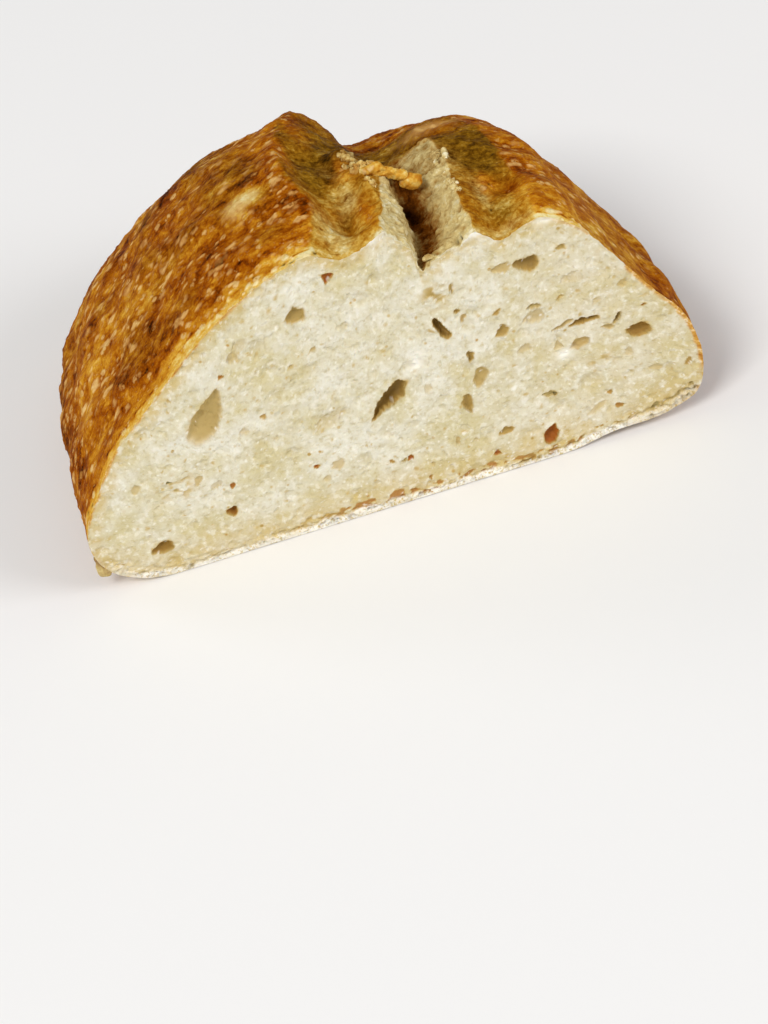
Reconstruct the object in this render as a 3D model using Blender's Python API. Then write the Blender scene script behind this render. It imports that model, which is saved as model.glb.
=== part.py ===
"""Half of a small crusty loaf, cut across its width, as one solid.

The half stands on its flat base with the cut face upright and turned to -Y. A row of cross-sections
runs from the cut to the rounded far end. Along the top runs the score, torn open in the oven: a raised
ear, a hollow, two torn lips and the crevice between them. The cut face carries the larger pores as
hollows, and the crust the lumps and dents of a hearth-baked skin.
"""
import bpy
import bmesh
import numpy as np
from mathutils import Vector
from mathutils.geometry import delaunay_2d_cdt

MM = 0.001

# Driving dimensions, in millimetres
LENGTH = 86.0            # from the cut face to the far end
POLE_HEIGHT = 11.5       # height of the far end's tip, where the loaf is widest
END_FLAT = 0.86          # share of the length along which the base lies flat
PLAN_POWERS = (2.35, 3.5)       # bluntness of the far end, seen from above
SIDE_POWERS = (2.57, 1.9)       # roundness of the far end, seen from the side
END_DRIFT = (1.3, -5.1)  # sideways drift of the far end: straight part, curved part
LUMP_HEIGHT = 0.7        # lumps of the crust, which fade out at the base, the cut and the far end
UPWARD_LEAN = 1.4        # above 1, the lumps swell more upwards than sideways
CRUMB_ROUGHNESS = 0.35   # how far the cut crumb wavers behind the plane of the cut

# Smooth outline of the cross-section at the cut, as (x, z), clockwise from the left end of the flat base
FLAT_SLOPE = (-0.9, 0.0)  # the outline leaves and meets the flat base level
BASE_LEFT = (-45.0, 0.0)
BASE_RIGHT = (30.0, 0.0)
SECTION = (
    BASE_LEFT, (-52.3, 1.5), (-57.3, 5.2), (-59.8, 11.5), (-58.8, 17.2), (-55.9, 22.4), (-51.5, 30.0),
    (-41.6, 39.7), (-30.3, 49.8), (-20.0, 56.6), (-7.4, 60.2), (6.0, 58.8), (20.0, 56.6), (33.0, 54.0),
    (40.0, 50.0), (45.5, 42.6), (52.6, 31.2), (56.3, 26.2), (59.0, 19.0), (59.8, 12.0), (58.2, 5.7),
    (52.0, 2.4), (40.6, 1.6), BASE_RIGHT,
)

# Depths behind the cut, in mm, at which the score's profile is given
STATIONS = (0.0, 14.0, 34.0, 52.0, 66.0, 80.0)
# Across the score from left to right: x and rise over the smooth outline at each station
SCORE = {
    "left_foot": ((-20.0, -20.0, -20.0, -19.0, -18.0, -17.0), (0.0, 0.0, 0.0, 0.0, 0.0, 0.0)),
    "ear_flank": ((-11.0, -9.0, -11.0, -8.0, -4.0, -3.0), (0.5, 0.7, 1.0, 0.4, 0.2, 0.0)),
    "ear": ((-7.4, -4.2, -6.0, -1.8, 4.2, 5.6), (0.2, 1.8, 2.6, 2.8, 4.6, 1.0)),
    "ear_foot": ((-2.9, -1.4, -2.6, 1.8, 7.4, 8.4), (-2.3, -2.4, -0.4, 1.6, 3.2, -0.4)),
    "hollow": ((0.6, 1.4, 1.8, 5.0, 10.0, 10.6), (-0.9, -3.2, -2.4, -0.6, 0.0, -2.0)),
    "left_lip": ((5.7, 8.2, 7.4, 9.0, 12.4, 12.6), (2.4, 1.2, -1.8, -4.4, -4.4, -4.0)),
    "left_wall": ((10.2, 11.4, 11.0, 11.8, 14.4, 14.4), (-2.6, -2.2, -5.8, -8.4, -9.0, -5.4)),
    "floor_left": ((11.3, 13.2, 13.0, 14.2, 16.6, 16.4), (-8.6, -10.5, -8.6, -10.4, -12.0, -6.0)),
    "floor_right": ((13.2, 16.2, 15.8, 17.6, 21.4, 21.0), (-6.0, -9.6, -7.8, -10.2, -13.4, -7.0)),
    "right_wall": ((18.8, 19.4, 19.6, 21.4, 25.0, 24.4), (-3.2, -4.4, -5.4, -8.0, -12.0, -7.0)),
    "right_lip": ((22.3, 22.8, 25.0, 26.0, 28.6, 28.0), (-0.5, -0.4, -2.0, -5.0, -9.4, -6.4)),
    "right_fold": ((26.3, 27.2, 28.2, 29.4, 32.0, 31.4), (-4.0, -2.8, -2.6, -3.8, -7.0, -5.6)),
    "shoulder": ((30.0, 30.6, 31.4, 32.6, 35.0, 34.4), (-1.9, -1.6, -2.0, -2.6, -5.0, -4.4)),
    "lobe": ((34.0, 35.4, 35.6, 36.6, 38.6, 38.0), (0.7, 0.4, -0.6, -1.2, -3.2, -3.0)),
    "right_foot": ((42.0, 42.0, 42.0, 44.0, 47.0, 47.0), (0.0, 0.0, 0.0, 0.0, 0.0, 0.0)),
}
# Torn knobs, flakes and dents on the score: x, depth, half-width, half-depth and rise
SCORE_LUMPS = (
    (12.4, 25.5, 5.6, 3.2, 6.5),     # flake that bridges the crevice
    (15.0, 33.5, 3.0, 3.6, -3.2),    # hollow behind the flake
    (7.0, 35.0, 3.6, 4.6, 2.2),      # torn crumb lumps behind the flake
    (1.4, 10.0, 2.6, 3.6, -1.6),     # dimple in front of the ear
    (36.5, 7.5, 5.6, 6.0, 1.3),      # browned bulge at the front of the right lobe
    (30.5, 17.0, 4.6, 4.0, -1.5),    # fold behind that bulge
)
# Number of columns between one line of the score and the next
SCORE_STEPS = (3, 2, 2, 2, 3, 2, 2, 1, 3, 2, 2, 2, 2, 2)
LEFT_STEPS = 16
RIGHT_STEPS = 17
BASE_STEPS = 9
BACK_HEIGHT = 50.0       # height of the back over the far end's tip
ROWS = 40                # cross-sections from the cut to the far end
ROW_CROWDING = 1.2       # above 1, the cross-sections lie closer together near the cut

# Larger pores of the cut face: x, z, half-length, half-width, turn in degrees and depth
PORES = (
    (-32.4, 33.0, 5.0, 3.2, 38.0, 1.3),
    (0.6, 24.7, 4.7, 1.7, 40.0, 3.2),
    (-13.1, 49.1, 1.9, 1.6, 20.0, 1.2),
    (-5.8, 54.7, 1.3, 0.9, -50.0, 1.2),
    (12.2, 37.2, 2.6, 1.1, -62.0, 2.6),
    (29.6, 45.1, 2.3, 1.5, -10.0, 1.8),
    (25.3, 45.8, 2.0, 1.2, 10.0, 0.8),
    (38.8, 28.7, 3.0, 0.9, 2.0, 2.2),
    (47.6, 23.6, 3.0, 1.2, -4.0, 2.4),
    (36.8, 24.3, 2.0, 1.3, 15.0, 1.2),
    (29.2, 33.2, 2.0, 1.2, 0.0, 0.8),
    (17.9, 23.3, 1.7, 1.4, 70.0, 1.2),
    (14.8, 18.1, 2.1, 1.1, 85.0, 1.6),
    (23.4, 32.3, 1.8, 1.1, 20.0, 1.0),
    (-47.0, 6.9, 2.1, 1.4, 15.0, 1.4),
    (-33.0, 10.3, 1.1, 0.8, -40.0, 1.4),
    (29.0, 5.6, 1.5, 1.1, 60.0, 1.2),
)
PORE_CORNERS = 12
INNER_RING = 0.72        # size of a pore's inner ring, against its rim
CRUMB_STEP = 5.2         # spacing of the crumb's own points
CRUMB_SCATTER = 0.8      # how far they stray from their rows


def smooth_closed_outline(points, per_span=12):
    """Points along a smooth curve through the section's points, closed by the straight base."""
    p = np.array(points)
    chord = np.concatenate(([0.0], np.cumsum(np.hypot(*np.diff(p, axis=0).T))))
    slope = np.gradient(p, chord, axis=0)
    slope[0] = slope[-1] = FLAT_SLOPE
    curve = []
    for i in range(len(p) - 1):
        u = np.linspace(0.0, 1.0, per_span, endpoint=False)[:, None]
        span = chord[i + 1] - chord[i]
        curve.append((2 * u**3 - 3 * u**2 + 1) * p[i] + (u**3 - 2 * u**2 + u) * span * slope[i]
                     + (3 * u**2 - 2 * u**3) * p[i + 1] + (u**3 - u**2) * span * slope[i + 1])
    curve = np.vstack(curve + [p[-1:], p[:1]])
    run = np.concatenate(([0.0], np.cumsum(np.hypot(*np.diff(curve, axis=0).T))))
    return curve, run


OUTLINE, RUN = smooth_closed_outline(SECTION)


def run_at(x):
    """Place along the outline of a point of the loaf's top, given by its x."""
    left, right = np.argmin(OUTLINE[:, 0]), np.argmax(OUTLINE[:, 0])
    return np.interp(x, OUTLINE[left:right + 1, 0], RUN[left:right + 1])


def ease(depth, values):
    """Value at a depth, eased from one station to the next, and held past the last."""
    k = np.clip(np.searchsorted(STATIONS, depth, side="right") - 1, 0, len(STATIONS) - 2)
    u = np.clip((depth - STATIONS[k]) / (STATIONS[k + 1] - STATIONS[k]), 0.0, 1.0)
    return values[k] + (values[k + 1] - values[k]) * u * u * (3 - 2 * u)


def end_shape(share):
    """Width, upper height and lower height left at a share of the length, each from 1 down to 0."""
    width = (1 - share**PLAN_POWERS[0])**(1 / PLAN_POWERS[1])
    upper = (1 - share**SIDE_POWERS[0])**(1 / SIDE_POWERS[1])
    past = max(0.0, (share - END_FLAT) / (1 - END_FLAT))
    return width, upper, np.sqrt(max(0.0, 1 - past * past))


def lumps(x, y, z):
    """Soft lumps between about -1 and 1, from crossed waves 20 to 30 mm long and finer ones of 11 mm."""
    first = np.sin(0.24 * x + 0.17 * y + 0.11 * z + 5.8) * np.sin(0.27 * y - 0.21 * z + 0.08 * x + 3.5)
    second = np.sin(0.25 * z + 0.19 * y - 0.14 * x + 4.7) * np.sin(0.22 * x - 0.29 * z + 0.10 * y + 5.9)
    finer = np.sin(0.55 * x + 0.31 * z) * np.sin(0.50 * y - 0.42 * z + 1.0)
    return 0.6 * first + 0.6 * second + 0.3 * finer


def fade(value, low, high):
    """Smooth step from 0 at low to 1 at high."""
    u = np.clip((value - low) / (high - low), 0.0, 1.0)
    return u * u * (3 - 2 * u)


def score_columns(depth):
    """Columns across the score at a depth: their x on the cut's outline and their rise."""
    lines = [(ease(depth, xs), ease(depth, rises)) for xs, rises in SCORE.values()]
    columns = []
    for (x0, rise0), (x1, rise1), steps in zip(lines, lines[1:], SCORE_STEPS):
        u = np.arange(steps) / steps
        columns += list(zip(x0 + (x1 - x0) * u, rise0 + (rise1 - rise0) * u))
    columns.append(lines[-1])
    x, rise = np.array(columns).T
    for lump_x, lump_depth, half_width, half_depth, height in SCORE_LUMPS:
        reach = ((x - lump_x) / half_width)**2 + ((depth - lump_depth) / half_depth)**2
        rise = rise + height * np.exp(-reach)
    return x, rise


def cross_section(depth):
    """Ring of points round the loaf at a depth behind the cut, from the left end of the flat base."""
    share = depth / LENGTH
    width, upper, lower = end_shape(share)
    score_x, score_rise = score_columns(depth)
    left_end, right_start = run_at(score_x[0]), run_at(score_x[-1])
    base_start = RUN[-2]
    run = np.concatenate((
        np.linspace(0.0, left_end, LEFT_STEPS, endpoint=False),
        run_at(score_x),
        np.linspace(right_start, base_start, RIGHT_STEPS + 1)[1:],
        np.linspace(base_start, RUN[-1], BASE_STEPS + 1)[1:-1],
    ))
    rise = np.zeros(len(run))
    rise[LEFT_STEPS:LEFT_STEPS + len(score_x)] = score_rise
    x = np.interp(run, RUN, OUTLINE[:, 0])
    z = np.interp(run, RUN, OUTLINE[:, 1])
    drift = END_DRIFT[0] * share + END_DRIFT[1] * share**2
    x = drift + x * width
    z = POLE_HEIGHT + (z - POLE_HEIGHT) * np.where(z > POLE_HEIGHT, upper, lower) + rise * upper
    outward = np.stack((x - drift, (z - POLE_HEIGHT) * UPWARD_LEAN), axis=1)
    outward /= np.linalg.norm(outward, axis=1)[:, None] + 1e-6
    swell = LUMP_HEIGHT * lumps(x, depth, z)
    swell *= fade(z, 3.0, 12.0) * fade(depth, 0.0, 9.0) * fade(width, 0.1, 0.5)
    x = x + swell * outward[:, 0]
    z = z + swell * outward[:, 1]
    return np.stack((x, np.full(len(x), depth), z), axis=1)


def section_depths():
    """Depths of the cross-sections, spaced along the loaf's back and closer together near the cut."""
    share = np.linspace(0.0, 1.0, 2000)
    height = np.array([end_shape(s)[1] for s in share]) * BACK_HEIGHT
    back = np.concatenate(([0.0], np.cumsum(np.hypot(np.diff(share * LENGTH), np.diff(height)))))
    places = np.linspace(0.0, 1.0, ROWS + 1)[:-1]**ROW_CROWDING
    return np.interp(places * back[-1], back, share * LENGTH)


def pore_reach(x, z, pore):
    """How far a point of the cut lies from a pore's middle: 1 on the pore's rim."""
    cx, cz, half_length, half_width, turn, _ = pore
    turn = np.radians(turn)
    along = (x - cx) * np.cos(turn) + (z - cz) * np.sin(turn)
    across = (z - cz) * np.cos(turn) - (x - cx) * np.sin(turn)
    return np.hypot(along / half_length, across / half_width)


def crumb_depth(x, z):
    """How far the crumb lies behind the plane of the cut."""
    depth = CRUMB_ROUGHNESS * (0.5 + 0.25 * np.sin(0.7 * x + 0.4 * z) + 0.25 * np.sin(0.9 * z - 0.5 * x + 1.0))
    for pore in PORES:
        depth = depth + pore[5] * np.sqrt(np.clip(1 - pore_reach(x, z, pore)**2, 0.0, 1.0))
    return depth


def pore_points(pore):
    """Rim, inner ring and bottom of one pore."""
    cx, cz, half_length, half_width, turn, _ = pore
    turn = np.radians(turn)
    angle = np.arange(PORE_CORNERS) * 2 * np.pi / PORE_CORNERS
    points = [(cx, cz)]
    for size, corners in ((1.0, angle), (INNER_RING, angle[::2])):
        along, across = size * half_length * np.cos(corners), size * half_width * np.sin(corners)
        points += list(zip(cx + along * np.cos(turn) - across * np.sin(turn),
                           cz + along * np.sin(turn) + across * np.cos(turn)))
    return points


def cut_face_points(rim):
    """Points of the cut face inside its rim: the pores, and the crumb between them."""
    points = [point for pore in PORES for point in pore_points(pore)]
    taken = np.array(points + list(map(tuple, rim)))
    x_low, z_low = rim.min(axis=0)
    x_high, z_high = rim.max(axis=0)
    for j, z in enumerate(np.arange(z_low, z_high, CRUMB_STEP * 0.87)):
        for x in np.arange(x_low + (j % 2) * CRUMB_STEP / 2, x_high, CRUMB_STEP):
            spot = (x + CRUMB_SCATTER * np.sin(5.1 * x + 3.3 * z),
                    z + CRUMB_SCATTER * np.sin(4.7 * z - 2.9 * x))
            if np.hypot(*(taken - spot).T).min() > 0.55 * CRUMB_STEP:
                points.append(spot)
    return points


def build_half_loaf():
    """One closed mesh: the rings, the tip of the far end and the cut face."""
    rings = [cross_section(depth) for depth in section_depths()]
    mesh = bmesh.new()
    rows = [[mesh.verts.new(point) for point in ring] for ring in rings]
    count = len(rings[0])
    for row, deeper in zip(rows, rows[1:]):
        for i in range(count):
            j = (i + 1) % count
            mesh.faces.new((row[i], row[j], deeper[j], deeper[i]))
    tip = mesh.verts.new((sum(END_DRIFT), LENGTH, POLE_HEIGHT))
    for i in range(count):
        mesh.faces.new((rows[-1][i], rows[-1][(i + 1) % count], tip))

    rim = rings[0][:, (0, 2)]
    flat = list(map(tuple, rim)) + cut_face_points(rim)
    edges = [(i, (i + 1) % count) for i in range(count)]
    spots, _, triangles, origins, _, _ = delaunay_2d_cdt(
        [Vector(point) for point in flat], edges, [list(range(count))], 1, 1e-5)
    verts = []
    for spot, origin in zip(spots, origins):
        on_rim = [i for i in origin if i < count]
        if on_rim:
            verts.append(rows[0][on_rim[0]])
        else:
            verts.append(mesh.verts.new((spot.x, crumb_depth(spot.x, spot.y), spot.y)))
    for triangle in triangles:
        mesh.faces.new([verts[i] for i in triangle])

    loose = [vert for vert in mesh.verts if not vert.link_faces]
    bmesh.ops.delete(mesh, geom=loose, context="VERTS")
    bmesh.ops.triangulate(mesh, faces=mesh.faces[:])
    bmesh.ops.recalc_face_normals(mesh, faces=mesh.faces[:])
    corners = np.array([vert.co for vert in mesh.verts])
    low, high = corners.min(axis=0), corners.max(axis=0)
    centre = Vector(((low[0] + high[0]) / 2, (low[1] + high[1]) / 2, low[2]))
    bmesh.ops.translate(mesh, verts=mesh.verts[:], vec=-centre)
    bmesh.ops.scale(mesh, verts=mesh.verts[:], vec=(MM, MM, MM))
    data = bpy.data.meshes.new("half_loaf")
    mesh.to_mesh(data)
    mesh.free()
    half_loaf = bpy.data.objects.new("half_loaf", data)
    bpy.context.scene.collection.objects.link(half_loaf)
    return half_loaf


def baked_crust():
    """Browned crust: matt to satin, golden brown."""
    material = bpy.data.materials.new("baked_crust")
    material.use_nodes = True
    surface = material.node_tree.nodes["Principled BSDF"]
    surface.inputs["Base Color"].default_value = (0.42, 0.17, 0.045, 1.0)
    surface.inputs["Roughness"].default_value = 0.55
    surface.inputs["Metallic"].default_value = 0.0
    return material


def main():
    for thing in list(bpy.data.objects):
        bpy.data.objects.remove(thing, do_unlink=True)
    half_loaf = build_half_loaf()
    half_loaf.data.materials.append(baked_crust())
    half_loaf.data.shade_smooth()
    half_loaf.data.set_sharp_from_angle(angle=np.radians(50.0))


main()
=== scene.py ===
"""Looks of half a small crusty loaf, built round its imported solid.

The skin is a grid of cross-sections from the cut to the far end, on the solid's own form, with blisters,
dents and torn dough as fine relief. It is cut into the left crust, the bloom that opened along the score,
the right crust and the floured base, which share their edges. The crumb fills the cut face out to the same
rim. Shapes are worked out in millimetres: x along the cut, depth behind the cut, z up.
"""

import bpy
import numpy as np
from mathutils import Matrix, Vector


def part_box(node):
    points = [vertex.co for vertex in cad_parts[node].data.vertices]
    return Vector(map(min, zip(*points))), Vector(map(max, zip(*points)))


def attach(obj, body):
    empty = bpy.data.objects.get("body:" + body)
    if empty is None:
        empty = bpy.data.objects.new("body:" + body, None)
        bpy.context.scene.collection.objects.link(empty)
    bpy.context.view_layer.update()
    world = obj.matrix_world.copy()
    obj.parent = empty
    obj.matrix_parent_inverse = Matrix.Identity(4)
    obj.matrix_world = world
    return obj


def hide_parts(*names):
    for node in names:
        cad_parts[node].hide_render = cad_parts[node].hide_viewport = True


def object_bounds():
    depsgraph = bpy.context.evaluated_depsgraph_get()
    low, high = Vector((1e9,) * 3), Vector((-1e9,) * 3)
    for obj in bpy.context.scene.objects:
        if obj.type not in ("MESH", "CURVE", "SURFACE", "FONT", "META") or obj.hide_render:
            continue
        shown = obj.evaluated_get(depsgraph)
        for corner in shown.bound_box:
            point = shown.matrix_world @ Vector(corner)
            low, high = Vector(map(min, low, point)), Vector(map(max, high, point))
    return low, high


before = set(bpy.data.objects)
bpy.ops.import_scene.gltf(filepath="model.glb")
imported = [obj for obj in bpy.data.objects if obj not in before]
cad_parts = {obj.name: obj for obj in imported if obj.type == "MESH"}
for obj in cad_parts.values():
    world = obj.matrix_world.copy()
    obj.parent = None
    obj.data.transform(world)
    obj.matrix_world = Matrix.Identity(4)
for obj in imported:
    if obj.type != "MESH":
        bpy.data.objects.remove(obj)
CAD_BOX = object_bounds()
LOW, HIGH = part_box("half_loaf")

MM = 0.001
CUT_Y = LOW.y / MM                       # the plane of the cut
LENGTH = (HIGH.y - LOW.y) / MM           # from the cut to the far end

# The form of the solid, in its own millimetres
POLE_HEIGHT = 11.5                       # height of the far end's tip
END_FLAT = 0.86                          # share of the length along which the base lies flat
PLAN_POWERS = (2.35, 3.5)                # powers of the far end's rounding as seen from above
SIDE_POWERS = (2.57, 1.9)                # and as seen from the side
END_DRIFT = (1.3, -5.1)                  # sideways drift of the rows, by the length's share and its square
LUMP_HEIGHT = 0.7
UPWARD_LEAN = 1.4                        # how much more the lumps swell upwards than sideways
FLAT_SLOPE = (-0.9, 0.0)                 # the section's direction where it leaves and meets the base
BASE_LEFT = (-45.0, 0.0)
BASE_RIGHT = (30.0, 0.0)
SECTION = (
    BASE_LEFT, (-52.3, 1.5), (-57.3, 5.2), (-59.8, 11.5), (-58.8, 17.2), (-55.9, 22.4), (-51.5, 30.0),
    (-41.6, 39.7), (-30.3, 49.8), (-20.0, 56.6), (-7.4, 60.2), (6.0, 58.8), (20.0, 56.6), (33.0, 54.0),
    (40.0, 50.0), (45.5, 42.6), (52.6, 31.2), (56.3, 26.2), (59.0, 19.0), (59.8, 12.0), (58.2, 5.7),
    (52.0, 2.4), (40.6, 1.6), BASE_RIGHT,
)
BASE_EDGE = np.array(SECTION[2::-1] + SECTION[:-5:-1])   # the cut's lower edge, from left to right
STATIONS = np.array((0.0, 14.0, 34.0, 52.0, 66.0, 80.0))
# Lines of the score from left to right: x and rise at each station, how far the line strays sideways and
# up, and the number of columns up to the next line
SCORE = {
    "left_foot": ((-20.0, -20.0, -20.0, -19.0, -18.0, -17.0), (0.0, 0.0, 0.0, 0.0, 0.0, 0.0), 0.0, 0.0, 24),
    "ear_flank": ((-11.0, -9.0, -11.0, -8.0, -4.0, -3.0), (0.5, 0.7, 1.0, 0.4, 0.2, 0.0), 0.4, 0.2, 16),
    "ear": ((-7.4, -4.2, -6.0, -1.8, 4.2, 5.6), (0.2, 1.8, 2.6, 2.8, 4.6, 1.0), 0.8, 0.4, 16),
    "ear_foot": ((-2.9, -1.4, -2.6, 1.8, 7.4, 8.4), (-2.3, -2.4, -0.4, 1.6, 3.2, -0.4), 0.4, 0.2, 12),
    "hollow": ((0.6, 1.4, 1.8, 5.0, 10.0, 10.6), (-0.9, -3.2, -2.4, -0.6, 0.0, -2.0), 0.4, 0.2, 20),
    "left_lip": ((5.7, 8.2, 7.4, 9.0, 12.4, 12.6), (2.4, 1.2, -1.8, -4.4, -4.4, -4.0), 0.7, 0.4, 20),
    "left_wall": ((10.2, 11.4, 11.0, 11.8, 14.4, 14.4), (-2.6, -2.2, -5.8, -8.4, -9.0, -5.4), 0.6, 0.6, 16),
    "floor_left": ((11.3, 13.2, 13.0, 14.2, 16.6, 16.4), (-8.6, -10.5, -8.6, -10.4, -12.0, -6.0), 0.3, 0.6, 10),
    "floor_right": ((13.2, 16.2, 15.8, 17.6, 21.4, 21.0), (-6.0, -9.6, -7.8, -10.2, -13.4, -7.0), 0.3, 0.6, 18),
    "right_wall": ((18.8, 19.4, 19.6, 21.4, 25.0, 24.4), (-3.2, -4.4, -5.4, -8.0, -12.0, -7.0), 0.6, 0.6, 16),
    "right_lip": ((22.3, 22.8, 25.0, 26.0, 28.6, 28.0), (-0.5, -0.4, -2.0, -5.0, -9.4, -6.4), 0.7, 0.4, 12),
    "right_fold": ((26.3, 27.2, 28.2, 29.4, 32.0, 31.4), (-4.0, -2.8, -2.6, -3.8, -7.0, -5.6), 0.4, 0.2, 12),
    "shoulder": ((30.0, 30.6, 31.4, 32.6, 35.0, 34.4), (-1.9, -1.6, -2.0, -2.6, -5.0, -4.4), 0.4, 0.2, 12),
    "lobe": ((34.0, 35.4, 35.6, 36.6, 38.6, 38.0), (0.7, 0.4, -0.6, -1.2, -3.2, -3.0), 0.4, 0.2, 18),
    "right_foot": ((42.0, 42.0, 42.0, 44.0, 47.0, 47.0), (0.0, 0.0, 0.0, 0.0, 0.0, 0.0), 0.0, 0.0, 0),
}
LINE = {name: place for place, name in enumerate(SCORE)}
# Torn knobs, flakes and dents on the score: x, depth, half-width, half-depth and rise
SCORE_LUMPS = (
    (12.4, 25.5, 5.6, 3.2, 6.5), (15.0, 33.5, 3.0, 3.6, -3.2), (7.0, 35.0, 3.6, 4.6, 2.2),
    (1.4, 10.0, 2.6, 3.6, -1.6), (36.5, 7.5, 5.6, 6.0, 1.3), (30.5, 17.0, 4.6, 4.0, -1.5),
)
# Smaller torn shapes that only the looks have: x, depth, half-width, half-depth and rise
TORN_LUMPS = (
    (7.6, 33.5, 2.6, 3.4, -1.2), (8.0, 24.5, 2.6, 3.2, -1.7), (23.0, 30.5, 2.6, 3.6, 1.4),
    (1.6, 13.5, 1.6, 2.8, -0.4), (7.3, 19.5, 1.3, 1.8, 0.8), (15.0, 20.5, 1.7, 1.7, -2.6),
    (-1.4, 6.8, 1.2, 2.4, 0.6), (28.0, 17.5, 1.2, 3.6, 0.8), (32.0, 14.5, 1.8, 3.2, -0.9),
    (36.5, 32.0, 3.4, 2.2, -0.8), (36.5, 8.0, 2.4, 3.0, 0.5),
)
# Larger pores of the cut face: x, z, half-length, half-width, turn in degrees, depth, brownness, and warmth
# from 0, greenish grey, through 0.5, khaki, to 1, red-brown
PORES = (
    (-32.4, 33.2, 5.6, 2.6, 238.0, 1.2, 0.42, 0.34), (0.4, 24.6, 4.9, 1.4, 42.0, 2.6, 0.85, 0.5),
    (-13.1, 49.1, 1.9, 1.6, 20.0, 1.0, 0.55, 0.4), (-5.6, 54.7, 1.3, 0.9, 70.0, 0.9, 0.9, 0.95),
    (12.4, 36.8, 2.8, 0.9, -70.0, 2.0, 0.95, 0.52), (29.6, 45.1, 2.4, 1.4, -12.0, 1.5, 0.7, 0.5),
    (25.0, 45.8, 1.7, 1.1, 10.0, 0.6, 0.35, 0.5), (38.6, 28.9, 2.8, 0.7, 2.0, 1.2, 0.7, 0.55),
    (48.2, 23.4, 2.6, 1.3, -4.0, 1.5, 0.75, 0.58), (36.8, 24.3, 2.1, 1.1, 12.0, 0.7, 0.4, 0.6),
    (29.2, 33.0, 2.1, 1.2, 20.0, 0.6, 0.25, 0.3), (17.9, 23.3, 2.2, 1.2, 75.0, 0.8, 0.4, 0.42),
    (14.8, 18.1, 2.4, 1.0, 95.0, 1.1, 0.5, 0.5), (23.4, 32.3, 1.6, 1.0, 20.0, 0.8, 0.55, 0.5),
    (-47.0, 6.9, 2.1, 1.4, 15.0, 1.2, 0.75, 0.58), (-33.0, 10.5, 1.1, 0.9, -40.0, 1.2, 1.0, 0.7),
    (29.0, 5.6, 2.0, 1.2, 255.0, 1.3, 0.9, 0.92),
)
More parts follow.
